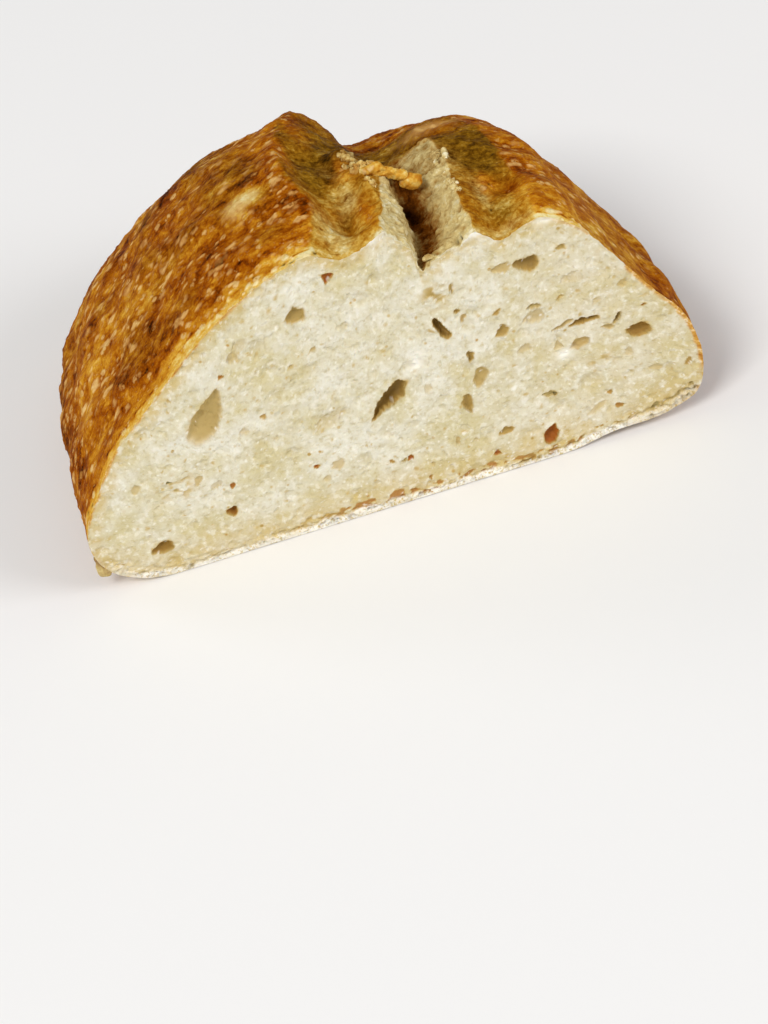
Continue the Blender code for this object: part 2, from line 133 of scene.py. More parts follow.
# Small pores and dots that only the looks have, given the same way
DOTS = (
    (-11.5, 24.0, 3.6, 1.6, 24.0, 0.35, 0.12, 0.2), (-27.0, 27.3, 1.0, 0.7, 30.0, 0.3, 0.22, 0.5),
    (-22.8, 29.2, 0.6, 0.5, 0.0, 0.3, 0.45, 0.8), (-15.7, 14.4, 0.7, 0.5, 80.0, 0.4, 0.9, 0.95),
    (-31.1, 16.1, 0.7, 0.5, 60.0, 0.4, 0.7, 0.9), (-34.2, 17.6, 1.4, 0.7, 30.0, 0.3, 0.18, 0.5),
    (-28.5, 40.5, 0.5, 0.4, 60.0, 0.3, 0.7, 0.9), (-25.4, 44.2, 1.3, 0.9, 40.0, 0.35, 0.25, 0.3),
    (-38.4, 39.4, 0.5, 0.4, 0.0, 0.2, 0.4, 0.6), (-48.6, 21.8, 1.1, 0.7, 60.0, 0.3, 0.25, 0.55),
    (-42.6, 21.4, 0.5, 0.4, 30.0, 0.35, 0.8, 0.35), (-37.2, 19.2, 1.1, 0.6, 50.0, 0.35, 0.35, 0.1),
    (-15.8, 38.4, 0.8, 0.4, 10.0, 0.2, 0.35, 0.75), (-11.0, 40.6, 0.8, 0.4, 15.0, 0.2, 0.35, 0.75),
    (-21.2, 23.8, 0.6, 0.5, 0.0, 0.25, 0.2, 0.5), (-24.0, 46.0, 1.8, 1.0, 35.0, 0.3, 0.15, 0.4),
    (-5.0, 43.7, 0.8, 0.7, 0.0, 0.25, 0.12, 0.5), (16.7, 28.6, 1.3, 0.7, 75.0, 0.9, 0.6, 0.5),
    (8.0, 24.2, 1.0, 0.6, 70.0, 0.4, 0.2, 0.4), (15.6, 44.7, 0.8, 0.5, 80.0, 0.5, 0.45, 0.55),
    (15.8, 39.6, 0.6, 0.4, -20.0, 0.5, 0.75, 0.55), (16.8, 37.4, 0.9, 0.5, 80.0, 0.4, 0.4, 0.75),
    (23.0, 36.6, 0.6, 0.5, 0.0, 0.35, 0.5, 0.65), (26.9, 26.7, 1.4, 1.1, 30.0, 0.4, 0.22, 0.45),
    (29.8, 35.4, 1.5, 0.5, 0.0, 0.5, 0.45, 0.15), (33.0, 25.1, 1.0, 0.8, 20.0, 0.4, 0.25, 0.2),
    (29.6, 15.0, 1.3, 0.6, 10.0, 0.5, 0.5, 0.1), (30.6, 14.5, 0.5, 0.4, 60.0, 0.5, 0.95, 0.3),
    (20.5, 9.5, 1.1, 0.6, 15.0, 0.6, 0.6, 0.5), (18.0, 4.4, 0.8, 0.6, 30.0, 0.5, 0.75, 0.95),
    (4.6, 4.0, 0.5, 0.6, 0.0, 0.4, 0.6, 0.95), (1.9, 10.0, 0.6, 0.6, 30.0, 0.45, 0.8, 0.95),
    (0.6, 10.2, 0.6, 0.4, 0.0, 0.35, 0.45, 0.15), (-1.8, 10.2, 0.5, 0.6, 60.0, 0.3, 0.55, 0.75),
    (11.1, 10.7, 0.6, 0.6, 0.0, 0.3, 0.3, 0.6), (14.7, 9.6, 0.7, 0.6, 0.0, 0.3, 0.2, 0.5),
    (6.1, 7.4, 0.5, 0.6, 0.0, 0.3, 0.25, 0.2), (-11.7, 13.7, 1.2, 0.9, 20.0, 0.35, 0.3, 0.1),
    (-14.2, 11.2, 0.9, 0.7, 60.0, 0.3, 0.22, 0.5), (36.1, 46.2, 1.2, 0.6, 15.0, 0.45, 0.55, 0.35),
    (37.8, 39.3, 2.0, 1.2, -10.0, 0.4, 0.16, 0.5), (46.1, 18.7, 0.9, 0.9, 0.0, 0.3, 0.2, 0.55),
    (44.6, 27.4, 1.2, 0.6, 40.0, 1.4, 0.6, 0.35), (42.6, 26.0, 1.4, 0.5, -10.0, 0.6, 0.4, 0.35),
    (34.4, 29.6, 2.2, 0.5, 8.0, 0.6, 0.4, 0.35), (50.7, 13.4, 1.3, 0.5, 5.0, 0.25, 0.25, 0.2),
    (56.6, 12.6, 0.7, 0.6, 0.0, 0.3, 0.55, 0.6), (42.5, 7.5, 0.8, 0.7, 50.0, 0.4, 0.6, 0.8),
    (41.0, 11.0, 0.7, 0.4, 0.0, 0.3, 0.55, 0.75), (38.0, 8.2, 2.0, 0.7, 30.0, 0.25, 0.22, 0.65),
    (50.0, 28.1, 0.4, 0.4, 0.0, 0.4, 0.95, 0.85), (46.7, 34.5, 1.1, 0.9, 10.0, 0.35, 0.3, 0.45),
    (41.3, 32.4, 1.2, 0.7, 20.0, 0.25, 0.18, 0.6), (34.9, 35.7, 0.5, 0.4, 60.0, 0.3, 0.4, 0.6),
    (50.7, 30.5, 1.1, 0.5, 0.0, 0.25, 0.25, 0.55), (49.1, 4.5, 1.3, 0.5, 10.0, 0.4, 0.55, 0.15),
)
# Rough grey patches of the crumb, and its torn places, painted bright as painted highlight where they catch the
# light: x, z, half-width and half-height
GREY_PATCHES = ((-41.5, 19.6, 3.4, 2.8), (40.6, 18.6, 2.2, 2.0), (12.5, 44.5, 2.5, 3.0))
PAINTED_TORN_HIGHLIGHTS = (
    (3.0, 60.2, 3.2, 1.6), (22.2, 55.6, 3.4, 1.8), (34.1, 22.7, 1.6, 1.4), (7.0, 31.5, 1.6, 2.2),
    (36.0, 53.4, 3.0, 1.0),
)
# Spots of the skin: x, depth, half-width, half-depth, how much darker baked, paler blistered and greener
SKIN_SPOTS = (
    (-4.7, 16.0, 2.4, 3.2, 0.2, -0.25, -0.3), (-8.8, 18.5, 2.6, 1.5, 0.2, 0.1, 0.0),
    (-8.5, 15.0, 2.2, 9.0, 0.08, 0.7, -0.2), (-5.8, 36.0, 3.2, 8.0, 0.02, -0.1, -0.5),
    (1.0, 52.0, 2.6, 12.0, 0.0, 0.3, -0.8), (-12.9, 31.5, 3.8, 2.4, 0.18, -0.2, 0.0),
    (-9.5, 43.0, 4.0, 3.0, 0.1, 0.1, 0.0), (-17.0, 25.6, 3.4, 4.2, -0.22, -1.1, 0.5),
    (-13.0, 25.6, 2.4, 2.4, -0.2, -0.8, 0.5), (-55.0, 8.0, 16.0, 10.0, 0.12, 0.0, 0.0),
    (-14.2, 10.5, 6.0, 3.2, 0.02, -0.8, 0.0), (-8.0, 6.6, 3.6, 2.2, -0.08, -0.8, 0.0),
    (-9.2, 2.2, 3.4, 1.8, -0.34, 0.35, 0.15), (-20.0, 3.4, 3.0, 1.8, -0.12, 0.3, 0.0),
    (-34.0, 3.4, 4.6, 1.8, -0.18, -0.5, 0.0), (-42.5, 4.6, 4.4, 2.0, -0.1, -0.5, 0.0),
    (-4.5, 38.0, 1.2, 7.0, -0.04, 0.0, -0.7), (3.0, 36.0, 3.0, 9.0, 0.06, 0.0, 0.4),
    (5.4, 30.0, 1.8, 5.0, -0.16, 0.0, -0.9), (4.0, 25.0, 1.6, 3.0, -0.14, 0.0, -0.5),
    (-1.0, 26.0, 2.0, 7.0, 0.0, 0.0, 0.25), (1.6, 13.5, 1.3, 2.6, 0.26, 0.0, 0.4),
    (-1.8, 6.0, 2.6, 5.0, -0.13, 0.0, 0.3), (3.0, 18.5, 1.6, 3.6, -0.16, 0.0, 0.3),
    (5.6, 9.0, 1.4, 6.5, 0.1, 0.0, -0.6), (7.2, 19.6, 1.4, 1.7, -0.18, 0.0, 0.0),
    (7.4, 20.0, 0.4, 1.1, 0.34, 0.0, 0.0), (26.8, 14.0, 1.1, 5.0, -0.12, 0.0, 0.3),
    (28.8, 18.6, 1.7, 3.6, -0.06, 0.0, -0.9), (30.0, 25.0, 3.6, 6.0, 0.14, 0.0, 0.5),
    (33.0, 34.0, 4.0, 5.0, 0.1, 0.0, 0.4), (32.6, 14.2, 2.0, 2.6, 0.3, 0.0, -0.4),
    (37.0, 20.5, 1.8, 3.4, 0.18, 0.0, -0.8), (28.4, 7.0, 2.6, 4.0, 0.1, 0.0, 0.5),
    (35.0, 1.2, 3.4, 1.6, -0.26, 0.2, 0.0), (38.5, 7.0, 3.0, 3.6, 0.06, 0.0, -0.9),
    (38.0, 22.5, 3.4, 4.0, 0.0, 1.6, -0.2), (31.0, 48.0, 6.0, 6.0, 0.06, 0.45, -0.8),
    (36.0, 9.0, 4.0, 4.0, -0.06, 0.0, -0.6), (44.0, 16.0, 4.0, 7.0, 0.02, 0.0, -0.5),
    (46.3, 27.0, 4.0, 8.0, 0.06, 0.0, -0.2), (43.0, 4.0, 5.0, 4.0, -0.12, -0.6, 0.1),
    (47.0, 9.0, 6.0, 6.0, -0.08, -0.4, 0.0), (54.0, 3.0, 4.0, 4.0, 0.14, -0.5, -0.4),
    (14.5, 36.0, 3.2, 4.0, 0.5, 0.0, 0.5), (10.5, 40.0, 4.0, 4.0, 0.2, 0.0, 0.4),
)
# Milky, smooth spots of the skin: x, depth, half-width, half-depth and amount
MILKY_SPOTS = (
    (-17.0, 25.6, 3.0, 3.6, 0.36), (-13.2, 26.4, 2.0, 2.2, 0.22), (-22.0, 14.0, 2.4, 2.0, 0.25),
    (29.0, 50.5, 9.0, 3.0, 0.36),
)
# Dry, pale places of the bloom, where raw dough baked open: x, depth, half-width, half-depth and amount
DRY_SPOTS = (
    (-1.6, 5.6, 2.2, 4.4, 0.36), (-3.0, 12.5, 1.6, 3.0, 0.3), (3.2, 18.5, 1.6, 3.4, 0.5),
    (1.2, 15.0, 1.2, 2.0, 0.2), (2.6, 30.0, 1.6, 4.0, 0.3), (26.8, 15.0, 1.2, 4.6, 0.5),
    (28.4, 1.6, 3.0, 1.4, 0.4), (35.0, 2.0, 3.0, 1.2, 0.35),
)
# Charred or burst specks of the skin: x, depth, half-width and half-depth
CHARRED = (
    (-6.5, 1.1, 0.35, 0.6), (-12.4, 1.3, 0.5, 0.4), (-11.0, 0.7, 0.8, 0.25), (27.2, 9.0, 0.35, 0.4),
    (29.3, 17.9, 0.35, 0.4), (18.7, 1.9, 0.22, 0.9), (19.6, 1.6, 0.22, 0.8), (-17.9, 3.2, 0.3, 0.3),
    (-58.3, 2.0, 0.5, 0.5), (-57.0, 1.2, 0.4, 0.5), (14.2, 21.6, 1.0, 0.8),
)

# Places on the skin where torn dough crumbles: x, depth, half-width and half-depth
CRUMBLY = ((9.5, 35.0, 3.4, 4.0), (22.5, 29.0, 3.0, 6.5), (13.0, 25.5, 4.0, 2.6))
# Clusters of torn crumbs: x, depth, spread in both, how many, and how baked, torn and olive they are
CRUMB_CLUSTERS = (
    (8.2, 27.6, 1.8, 3.0, 34, (0.37, 0.50, 0.0)),
    (7.2, 32.6, 1.8, 2.6, 26, (0.42, 0.60, 0.5)),
    (11.0, 30.6, 1.4, 2.6, 14, (0.46, 0.70, 0.6)),
    (23.2, 29.6, 1.4, 3.6, 14, (0.26, 0.90, 0.2)),
    (8.2, 19.6, 0.8, 1.6, 10, (0.30, 0.60, 0.0)),
    (22.6, 20.0, 0.6, 6.0, 12, (0.22, 0.90, 0.1)),
)
# The shred that crosses the tear: x, depth and z of its path, and its radius along it
STRAND_PATH = (
    (7.0, 23.6, 58.6), (8.8, 23.4, 58.7), (11.0, 23.2, 57.9), (13.4, 23.0, 56.4), (15.2, 22.8, 54.9),
)
STRAND_RADII = (0.6, 0.9, 1.0, 1.1, 1.2)

# Bubbles of the skin, in millimetres, with the share of the lattice's boxes that hold one
BLISTER = {"spacing": 2.9, "smallest": 0.7, "largest": 2.0, "share": 0.65}
SMALL_BLISTER = {"spacing": 1.6, "smallest": 0.35, "largest": 0.9, "share": 0.7}
RIM_BUBBLE = {"spacing": 1.7, "smallest": 0.5, "largest": 1.05, "share": 0.8}
BURST_CELL = {"spacing": 1.9, "smallest": 0.45, "largest": 1.1, "share": 1.0}
BLOOM_PIT = {"spacing": 1.6, "smallest": 0.2, "largest": 0.6, "share": 0.6}
# Bubbles and marks of the crumb, given the same way
WIDE_CELL = {"spacing": 6.0, "smallest": 0.6, "largest": 1.9, "share": 0.6}
MIDDLING_CELL = {"spacing": 2.5, "smallest": 0.3, "largest": 0.8, "share": 0.65}
FINE_CELL = {"spacing": 1.05, "smallest": 0.2, "largest": 0.45, "share": 0.8}
TAN_SPECK = {"spacing": 2.7, "smallest": 0.16, "largest": 0.5, "share": 0.6}
# Pale specks of the crumb are painted glints of its moist cell walls
PAINTED_GLINT_SPECK = {"spacing": 1.9, "smallest": 0.12, "largest": 0.35, "share": 0.5}
# Height or depth of each part of the skin's relief, in millimetres
RELIEF = {
    "dents": 0.20, "grit": 0.05, "blisters": 0.30, "seams": 0.07, "frill": 0.25, "char": 0.30,
    "bloom ripples": 0.16, "bloom pits": 0.34, "bloom grit": 0.22,
    "shreds": 0.50, "burst cells": 0.50, "torn grit": 0.22, "crumbs": 0.80, "crumb grit": 0.30,
}
BASE_RELIEF = 0.35                       # share of its relief that the flat base keeps

# Sizes of the finishes' patterns, in millimetres
BROWNED_PATCH = 2.381
SKIN_SPECKLE = 0.7692
PIMPLE_SPACING = 2.3256
PIMPLE_STRAY = 1.4
STREAK = 0.7692
CRUST_BUMP = 0.28
CRUMB_CLOUD = 7.692
CRUMB_TANGLE = 1.4286
CRUMB_GRAIN = 0.5263
# Spacing of the crumb's painted glints
PAINTED_GLINT_SPACING = 1.1765
DOT_SPACING = 2.3256
CRUMB_BUMP = 0.2
LIGHT_REACH = 1.0                        # how far red light spreads inside the crumb

# Fineness of the grids
ROWS = 340
ROW_CROWDING = 1.2                       # power that draws the rows together near the cut
BACK_HEIGHT = 50.0                       # of the back's line, along which the rows are spaced
LEFT_COLUMNS = 250
RIGHT_COLUMNS = 190
BASE_ROW_STEP = 3                        # the base keeps every third row
SPINE_HALF = 30.0                        # the crumb's grid closes on a level line this far to each side
SPINE_HEIGHT = 22.0
CRUMB_RINGS = 92
SLOPE_STEP = 0.06                        # millimetres over which the crumb's slope is taken
BOX_SHARE = 0.9998                       # share of the solid's box that the skin may fill


# ---------------------------------------------------------------- numbers and noise

def smooth(u):
    """Smooth step of a share from 0 to 1: 3 u^2 - 2 u^3."""
    return u * u * (3 - 2 * u)


def fade(value, low, high):
    """Smooth step from 0 at low to 1 at high."""
    return smooth(np.clip((value - low) / (high - low), 0.0, 1.0))


def bell(*shares):
    """Soft round spot: 1 where every share is 0, falling off as exp(-(sum of squares))."""
    return np.exp(-sum(share**2 for share in shares))


def cubic(u, start, end, start_slope, end_slope):
    """Cubic curve from start to end as u goes from 0 to 1, leaving and arriving with the given slopes."""
    return ((2 * u**3 - 3 * u**2 + 1) * start + (u**3 - 2 * u**2 + u) * start_slope
            + (3 * u**2 - 2 * u**3) * end + (u**3 - u**2) * end_slope)


def spots_at(x, y, rows):
    """Sum, held to 1, of soft round spots, each given by its middle and its two half-sizes."""
    return np.clip(sum(bell((x - at_x) / wide, (y - at_y) / tall) for at_x, at_y, wide, tall in rows), 0, 1)


def travelled(points):
    """Distance gone along a line of points at each of them, from 0."""
    return np.concatenate(([0.0], np.cumsum(np.linalg.norm(np.diff(points, axis=0), axis=-1))))


def lottery(cell, salt):
    """Repeatable random number in 0..1 for each whole-numbered cell, by multiplying and mixing its bits."""
    i, j, k = (cell[..., axis].astype(np.int64).astype(np.uint64) for axis in range(3))
    mixed = i * np.uint64(73856093) ^ j * np.uint64(19349663) ^ k * np.uint64(83492791)
    mixed = (mixed ^ np.uint64(salt * 2654435761 % 2**32)) & np.uint64(0xFFFFFFFF)
    for shift, factor in ((15, 2246822519), (13, 3266489917)):
        mixed = (mixed ^ (mixed >> np.uint64(shift))) * np.uint64(factor) & np.uint64(0xFFFFFFFF)
    return ((mixed ^ (mixed >> np.uint64(16))) & np.uint64(0xFFFFFF)).astype(float) / 0xFFFFFF


def soft_noise(p, size, salt, layers=1):
    """Smooth random relief in -1..1: random numbers on a lattice, blended by smooth steps. Each further
    layer is half as large and half as strong."""
    total, weight, weights = 0.0, 1.0, 0.0
    for layer in range(layers):
        q = p / (size * 0.5**layer)
        cell = np.floor(q)
        u = smooth(q - cell)
        value = 0.0
        for corner in np.ndindex(2, 2, 2):
            share = np.prod(np.where(np.array(corner) == 1, u, 1 - u), axis=-1)
            value = value + share * lottery(cell + corner, salt + layer)
        total = total + weight * (2 * value - 1)
        weights += weight
        weight *= 0.5
    return total / weights


def jitter(p, size, salt):
    """Random shift of each point, between about -1 and 1 along each axis: one soft noise for each."""
    return np.stack([soft_noise(p, size, salt + axis, layers=2) for axis in range(3)], axis=-1)


def bubbles(p, salt, spacing, smallest, largest, share):
    """Scattered round bubbles, one or none in each box of a lattice: how far each point lies from the
    nearest bubble's middle, 1 on its edge, and that bubble's own random number."""
    q = p / spacing
    home = np.floor(q)
    reach = np.full(p.shape[:-1], 9.0)
    number = np.zeros(p.shape[:-1])
    flat = np.ptp(p[..., 2]) == 0
    for step in np.ndindex(3, 3, 1 if flat else 3):
        cell = home + np.array(step) - (1, 1, 0 if flat else 1)
        middle = cell + np.stack([lottery(cell, salt + axis) for axis in range(3)], axis=-1)
        if flat:
            middle[..., 2] = q[..., 2]
        own = lottery(cell, salt + 3)
        size = (smallest + (largest - smallest) * own**1.5) / spacing
        away = np.linalg.norm(q - middle, axis=-1) / size
        away = np.where(lottery(cell, salt + 4) < share, away, 9.0)
        number = np.where(away < reach, own, number)
        reach = np.minimum(reach, away)
    return reach, number


def dome(reach):
    """Round hump over a bubble: 1 in the middle, 0 from its edge out."""
    return np.clip(1 - reach**2, 0.0, 1.0)


def cells(p, spacing, salt):
    """Rounded cells, one round each of the middles scattered over a lattice: how much farther each point
    lies from the second nearest middle than from the nearest, in spacings, and the nearest middle's own
    random number."""
    q = p / spacing
    home = np.floor(q)
    first = np.full(p.shape[:-1], 9.0)
    second = np.full(p.shape[:-1], 9.0)
    number = np.zeros(p.shape[:-1])
    for step in np.ndindex(3, 3, 3):
        cell = home + step - (1, 1, 1)
        middle = cell + 0.1 + 0.8 * np.stack([lottery(cell, salt + axis) for axis in range(3)], axis=-1)
        away = np.linalg.norm(q - middle, axis=-1)
        nearer = away < first
        second = np.where(nearer, first, np.minimum(second, away))
        number = np.where(nearer, lottery(cell, salt + 3), number)
        first = np.minimum(first, away)
    return second - first, number


# ---------------------------------------------------------------- the loaf's form

def smooth_closed_outline(points, per_span=24):
    """Points along a smooth curve through the section's points, closed by the straight base: cubic spans
    whose slopes come from the neighbouring points. Gives the points and the distance gone at each."""
    p = np.array(points)
    chord = travelled(p)
    slope = np.gradient(p, chord, axis=0)
    slope[0] = slope[-1] = FLAT_SLOPE
    u = np.linspace(0.0, 1.0, per_span, endpoint=False)[:, None]
    curve = [cubic(u, p[i], p[i + 1], span * slope[i], span * slope[i + 1])
             for i, span in enumerate(np.diff(chord))]
    curve = np.vstack(curve + [p[-1:], p[:1]])
    return curve, travelled(curve)


OUTLINE, RUN = smooth_closed_outline(SECTION)


def run_at(x):
    """Place along the outline of a point of the loaf's top, given by its x."""
    left, right = np.argmin(OUTLINE[:, 0]), np.argmax(OUTLINE[:, 0])
    return np.interp(x, OUTLINE[left:right + 1, 0], RUN[left:right + 1])


def ease(depth, values):
    """Values at an array of depths, eased from one station to the next, and held past the last."""
    values = np.array(values)
    k = np.clip(np.searchsorted(STATIONS, depth, side="right") - 1, 0, len(STATIONS) - 2)
    u = np.clip((depth - STATIONS[k]) / (STATIONS[k + 1] - STATIONS[k]), 0.0, 1.0)
    return values[k] + (values[k + 1] - values[k]) * smooth(u)


def end_shape(share):
    """Width, upper height and lower height left at a share of the length, each from 1 down to 0."""
    width = np.clip(1 - share**PLAN_POWERS[0], 0, 1)**(1 / PLAN_POWERS[1])
    upper = np.clip(1 - share**SIDE_POWERS[0], 0, 1)**(1 / SIDE_POWERS[1])
    past = np.clip((share - END_FLAT) / (1 - END_FLAT), 0, 1)
    return width, upper, np.sqrt(1 - past * past)


def lumps(x, y, z):
    """Soft lumps between about -1 and 1, from crossed waves 20 to 30 mm long and finer ones of 11 mm."""
    first = np.sin(0.24 * x + 0.17 * y + 0.11 * z + 5.8) * np.sin(0.27 * y - 0.21 * z + 0.08 * x + 3.5)
    second = np.sin(0.25 * z + 0.19 * y - 0.14 * x + 4.7) * np.sin(0.22 * x - 0.29 * z + 0.10 * y + 5.9)
    finer = np.sin(0.55 * x + 0.31 * z) * np.sin(0.50 * y - 0.42 * z + 1.0)
    return 0.6 * first + 0.6 * second + 0.3 * finer


def row_depths():
    """Depths of the rows, spaced along the loaf's back and closer together near the cut, up to the tip."""
    share = np.linspace(0.0, 1.0, 4000)
    back = travelled(np.stack((share * LENGTH, end_shape(share)[1] * BACK_HEIGHT), axis=-1))
    return np.interp(np.linspace(0.0, 1.0, ROWS + 1)**ROW_CROWDING * back[-1], back, share * LENGTH)


def stray(depth, size, salt):
    """Smooth random wander along the loaf, in -1..1, one value for each depth."""
    p = np.zeros((len(depth), 3))
    p[:, 0] = depth
    return soft_noise(p, size, salt, layers=3)


def score_columns(depth):
    """Columns across the score: x on the cut's outline, rise over it and place among the score's lines.

    Between two lines both run straight; then each rise is blended with the mean of its neighbours, which
    rounds the folds but leaves the torn lips crisp."""
    lines_x, lines_rise = [], []
    for place, (xs, rises, sideways, up, _) in enumerate(SCORE.values()):
        lines_x.append(ease(depth, xs) + sideways * stray(depth, 5.0, 100 + place))
        lines_rise.append(ease(depth, rises) + up * stray(depth, 4.0, 200 + place))
    steps = [line[-1] for line in SCORE.values()]
    place = [line + np.arange(n) / n for line, n in enumerate(steps) if n]
    place = np.concatenate(place + [[len(steps) - 1]])
    line = np.minimum(place.astype(int), len(steps) - 2)
    u = (place - line)[:, None]
    lines_x, lines_rise = np.array(lines_x), np.array(lines_rise)
    x = lines_x[line] * (1 - u) + lines_x[line + 1] * u
    rise = lines_rise[line] * (1 - u) + lines_rise[line + 1] * u
    soft = rise.copy()
    for _ in range(6):
        soft[1:-1] = (soft[:-2] + 2 * soft[1:-1] + soft[2:]) / 4
    lips = sum(bell((place - LINE[name]) / 0.35) for name in ("left_lip", "right_lip"))
    rise = soft + (rise - soft) * np.clip(lips, 0.0, 1.0)[:, None]
    x, rise = x.T, rise.T
    for lump_x, lump_depth, half_width, half_depth, height in SCORE_LUMPS + TORN_LUMPS:
        rise = rise + height * bell((x - lump_x) / half_width, (depth[:, None] - lump_depth) / half_depth)
    return x, rise, place


def outward_normals(p):
    """Unit normals of a grid whose columns run round the loaf: one row step crossed with one column step."""
    around = np.roll(p, -1, axis=1) - np.roll(p, 1, axis=1)
    along = np.gradient(p, axis=0)
    normal = np.cross(around, along)
    return normal / (np.linalg.norm(normal, axis=-1, keepdims=True) + 1e-9)


class Skin:
    """The loaf's outer skin: its grid of points p, each row's depth, the run round the outline and the place
    among the score's lines, then what the later steps find: zones, blisters and the finish's values."""


def plain_skin():
    """The skin on the solid's form. Each row is the cut's outline, scaled in width and height towards the
    far end's tip, with the score's rise added and soft lumps swelling outwards."""
    skin = Skin()
    depth = row_depths()
    share = (depth / LENGTH)[:, None]
    width, upper, lower = end_shape(share)
    score_x, score_rise, score_place = score_columns(depth)
    left_end, right_start, base_start = run_at(score_x[:, :1]), run_at(score_x[:, -1:]), RUN[-2]
    left = np.linspace(0.0, 1.0, LEFT_COLUMNS, endpoint=False) * left_end
    right = right_start + np.linspace(0.0, 1.0, RIGHT_COLUMNS + 1)[1:] * (base_start - right_start)
    top = np.hstack((left, run_at(score_x), right))
    top_x = np.interp(top[0], RUN, OUTLINE[:, 0])
    high = np.interp(top[0], RUN, OUTLINE[:, 1]) > SPINE_HEIGHT
    spine = np.flatnonzero(high & (np.abs(top_x) < SPINE_HALF))
    spine_x = top_x[spine]
    base_x = np.concatenate((spine_x[::-1], np.linspace(spine_x[0], BASE_LEFT[0], 40)[1:-1]))
    base = base_start + (BASE_RIGHT[0] - base_x) + np.zeros((len(depth), 1))
    run = np.hstack((top, base))

    skin.rows, skin.columns = run.shape
    skin.score = slice(LEFT_COLUMNS, LEFT_COLUMNS + len(score_place))
    skin.base_start = top.shape[1] - 1
    skin.spine = spine
    skin.spine_mirror = skin.base_start + 1 + np.flatnonzero(np.isin(base_x, spine_x))
    skin.spine_x = spine_x
    skin.place = np.full(skin.columns, -1.0)
    skin.place[skin.score] = score_place
    rise = np.zeros(run.shape)
    rise[:, skin.score] = score_rise
    flat_x = np.interp(run, RUN, OUTLINE[:, 0])
    flat_z = np.interp(run, RUN, OUTLINE[:, 1])
    drift = END_DRIFT[0] * share + END_DRIFT[1] * share**2
    x = drift + flat_x * width
    z = POLE_HEIGHT + (flat_z - POLE_HEIGHT) * np.where(flat_z > POLE_HEIGHT, upper, lower) + rise * upper
    away = np.stack((x - drift, (z - POLE_HEIGHT) * UPWARD_LEAN), axis=-1)
    away /= np.linalg.norm(away, axis=-1, keepdims=True) + 1e-6
    y = np.broadcast_to(depth[:, None], x.shape)
    swell = LUMP_HEIGHT * lumps(x, y, z) * fade(z, 3.0, 12.0) * fade(y, 0.0, 9.0) * fade(width, 0.1, 0.5)
    skin.p = np.stack((x + swell * away[..., 0], y, z + swell * away[..., 1]), axis=-1)
    skin.p[-1] = (sum(END_DRIFT), LENGTH, POLE_HEIGHT)
    skin.depth, skin.run, skin.width = y, run, width
    return skin


def right_of(skin, first, last):
    """0 left of one x on the loaf's top, 1 right of another, eased between them along the outline."""
    return fade(skin.run, run_at(first), run_at(last))


def spot_on(skin, x, depth, half_width, half_depth, astray=(0.0, 0.0)):
    """Soft spot on the skin round a place given by its x and depth."""
    return bell((skin.run + astray[0] - run_at(x)) / half_width,
                (skin.depth + astray[1] - depth) / half_depth)


def spots(skin, rows, salt):
    """Sum of soft spots on the skin for each further number of the rows: that number times the spot, with
    the places strayed by up to a millimetre so that no spot is round."""
    astray = [1.1 * soft_noise(skin.p, 3.0, salt + step, layers=3) for step in (0, 10)]
    totals = [np.zeros(skin.run.shape) for _ in rows[0][4:]]
    for x, depth, half_width, half_depth, *amounts in rows:
        shape = spot_on(skin, x, depth, half_width, half_depth, astray)
        for total, amount in zip(totals, amounts):
            total += amount * shape
    return totals


def between(place, first, last, soft=0.3):
    """1 between two places across the score, easing to 0 over a short way past them."""
    return fade(place, first - soft, first) * (1 - fade(place, last, last + soft))


def mark_zones(skin):
    """Notes, from 0 to 1, where the skin tore, where it bloomed along the score, what lies far right, low
    down, on the base and near the cut, and the listed spots."""
    p, depth, place = skin.p, skin.depth, skin.place
    border = LINE["left_lip"] + 0.1 + 0.75 * bell((depth - 23.0) / 6.0)
    border = border + 0.12 * soft_noise(p, 2.0, 72, layers=2)
    torn = between(place, border, LINE["right_lip"] - 0.1, 0.12)
    skin.torn = torn * (1 - fade(depth + 3 * soft_noise(p, 4.0, 71, layers=2), 38.0, 46.0))
    astray = 0.3 * soft_noise(p, 3.0, 73, layers=3) * fade(depth, 2.0, 8.0)
    bloom = between(place + astray, LINE["ear"] + 0.1, LINE["lobe"] - 0.3)
    bloom = bloom * (1 - fade(depth + 5 * soft_noise(p, 6.0, 74, layers=3), 50.0, 70.0))
    skin.bloom = np.maximum(bloom, skin.torn)
    skin.crusty = 1 - skin.bloom
    skin.crumbly = spots_at(p[..., 0], depth, CRUMBLY)
    skin.right = right_of(skin, 40.0, 46.0)
    skin.low_down = 1 - fade(p[..., 2] + 1.5 * soft_noise(p, 4.0, 81, layers=2), 0.6, 6.0)
    skin.on_base = np.where(np.arange(skin.columns) > skin.base_start, 1.0, 0.0)
    low_left = 1 - right_of(skin, -24.0, -12.0)
    skin.edge_width = 2.9 + 2.4 * low_left
    skin.edge_width += (2.4 + low_left) * soft_noise(p * (1.0, 0.2, 1.0), 7.0, 101, layers=4)
    near_cut = 1 - fade(depth, 0.8 * skin.edge_width, 1.1 * skin.edge_width)
    skin.near_cut = near_cut * (1 - 0.8 * skin.right) * (1 - skin.on_base)
    skin.darker, skin.paler, skin.greener = spots(skin, SKIN_SPOTS, 500)
    skin.milky, = spots(skin, MILKY_SPOTS, 510)
    skin.dry, = spots(skin, DRY_SPOTS, 520)
    skin.charred = sum(spot_on(skin, *mark)**2 for mark in CHARRED)


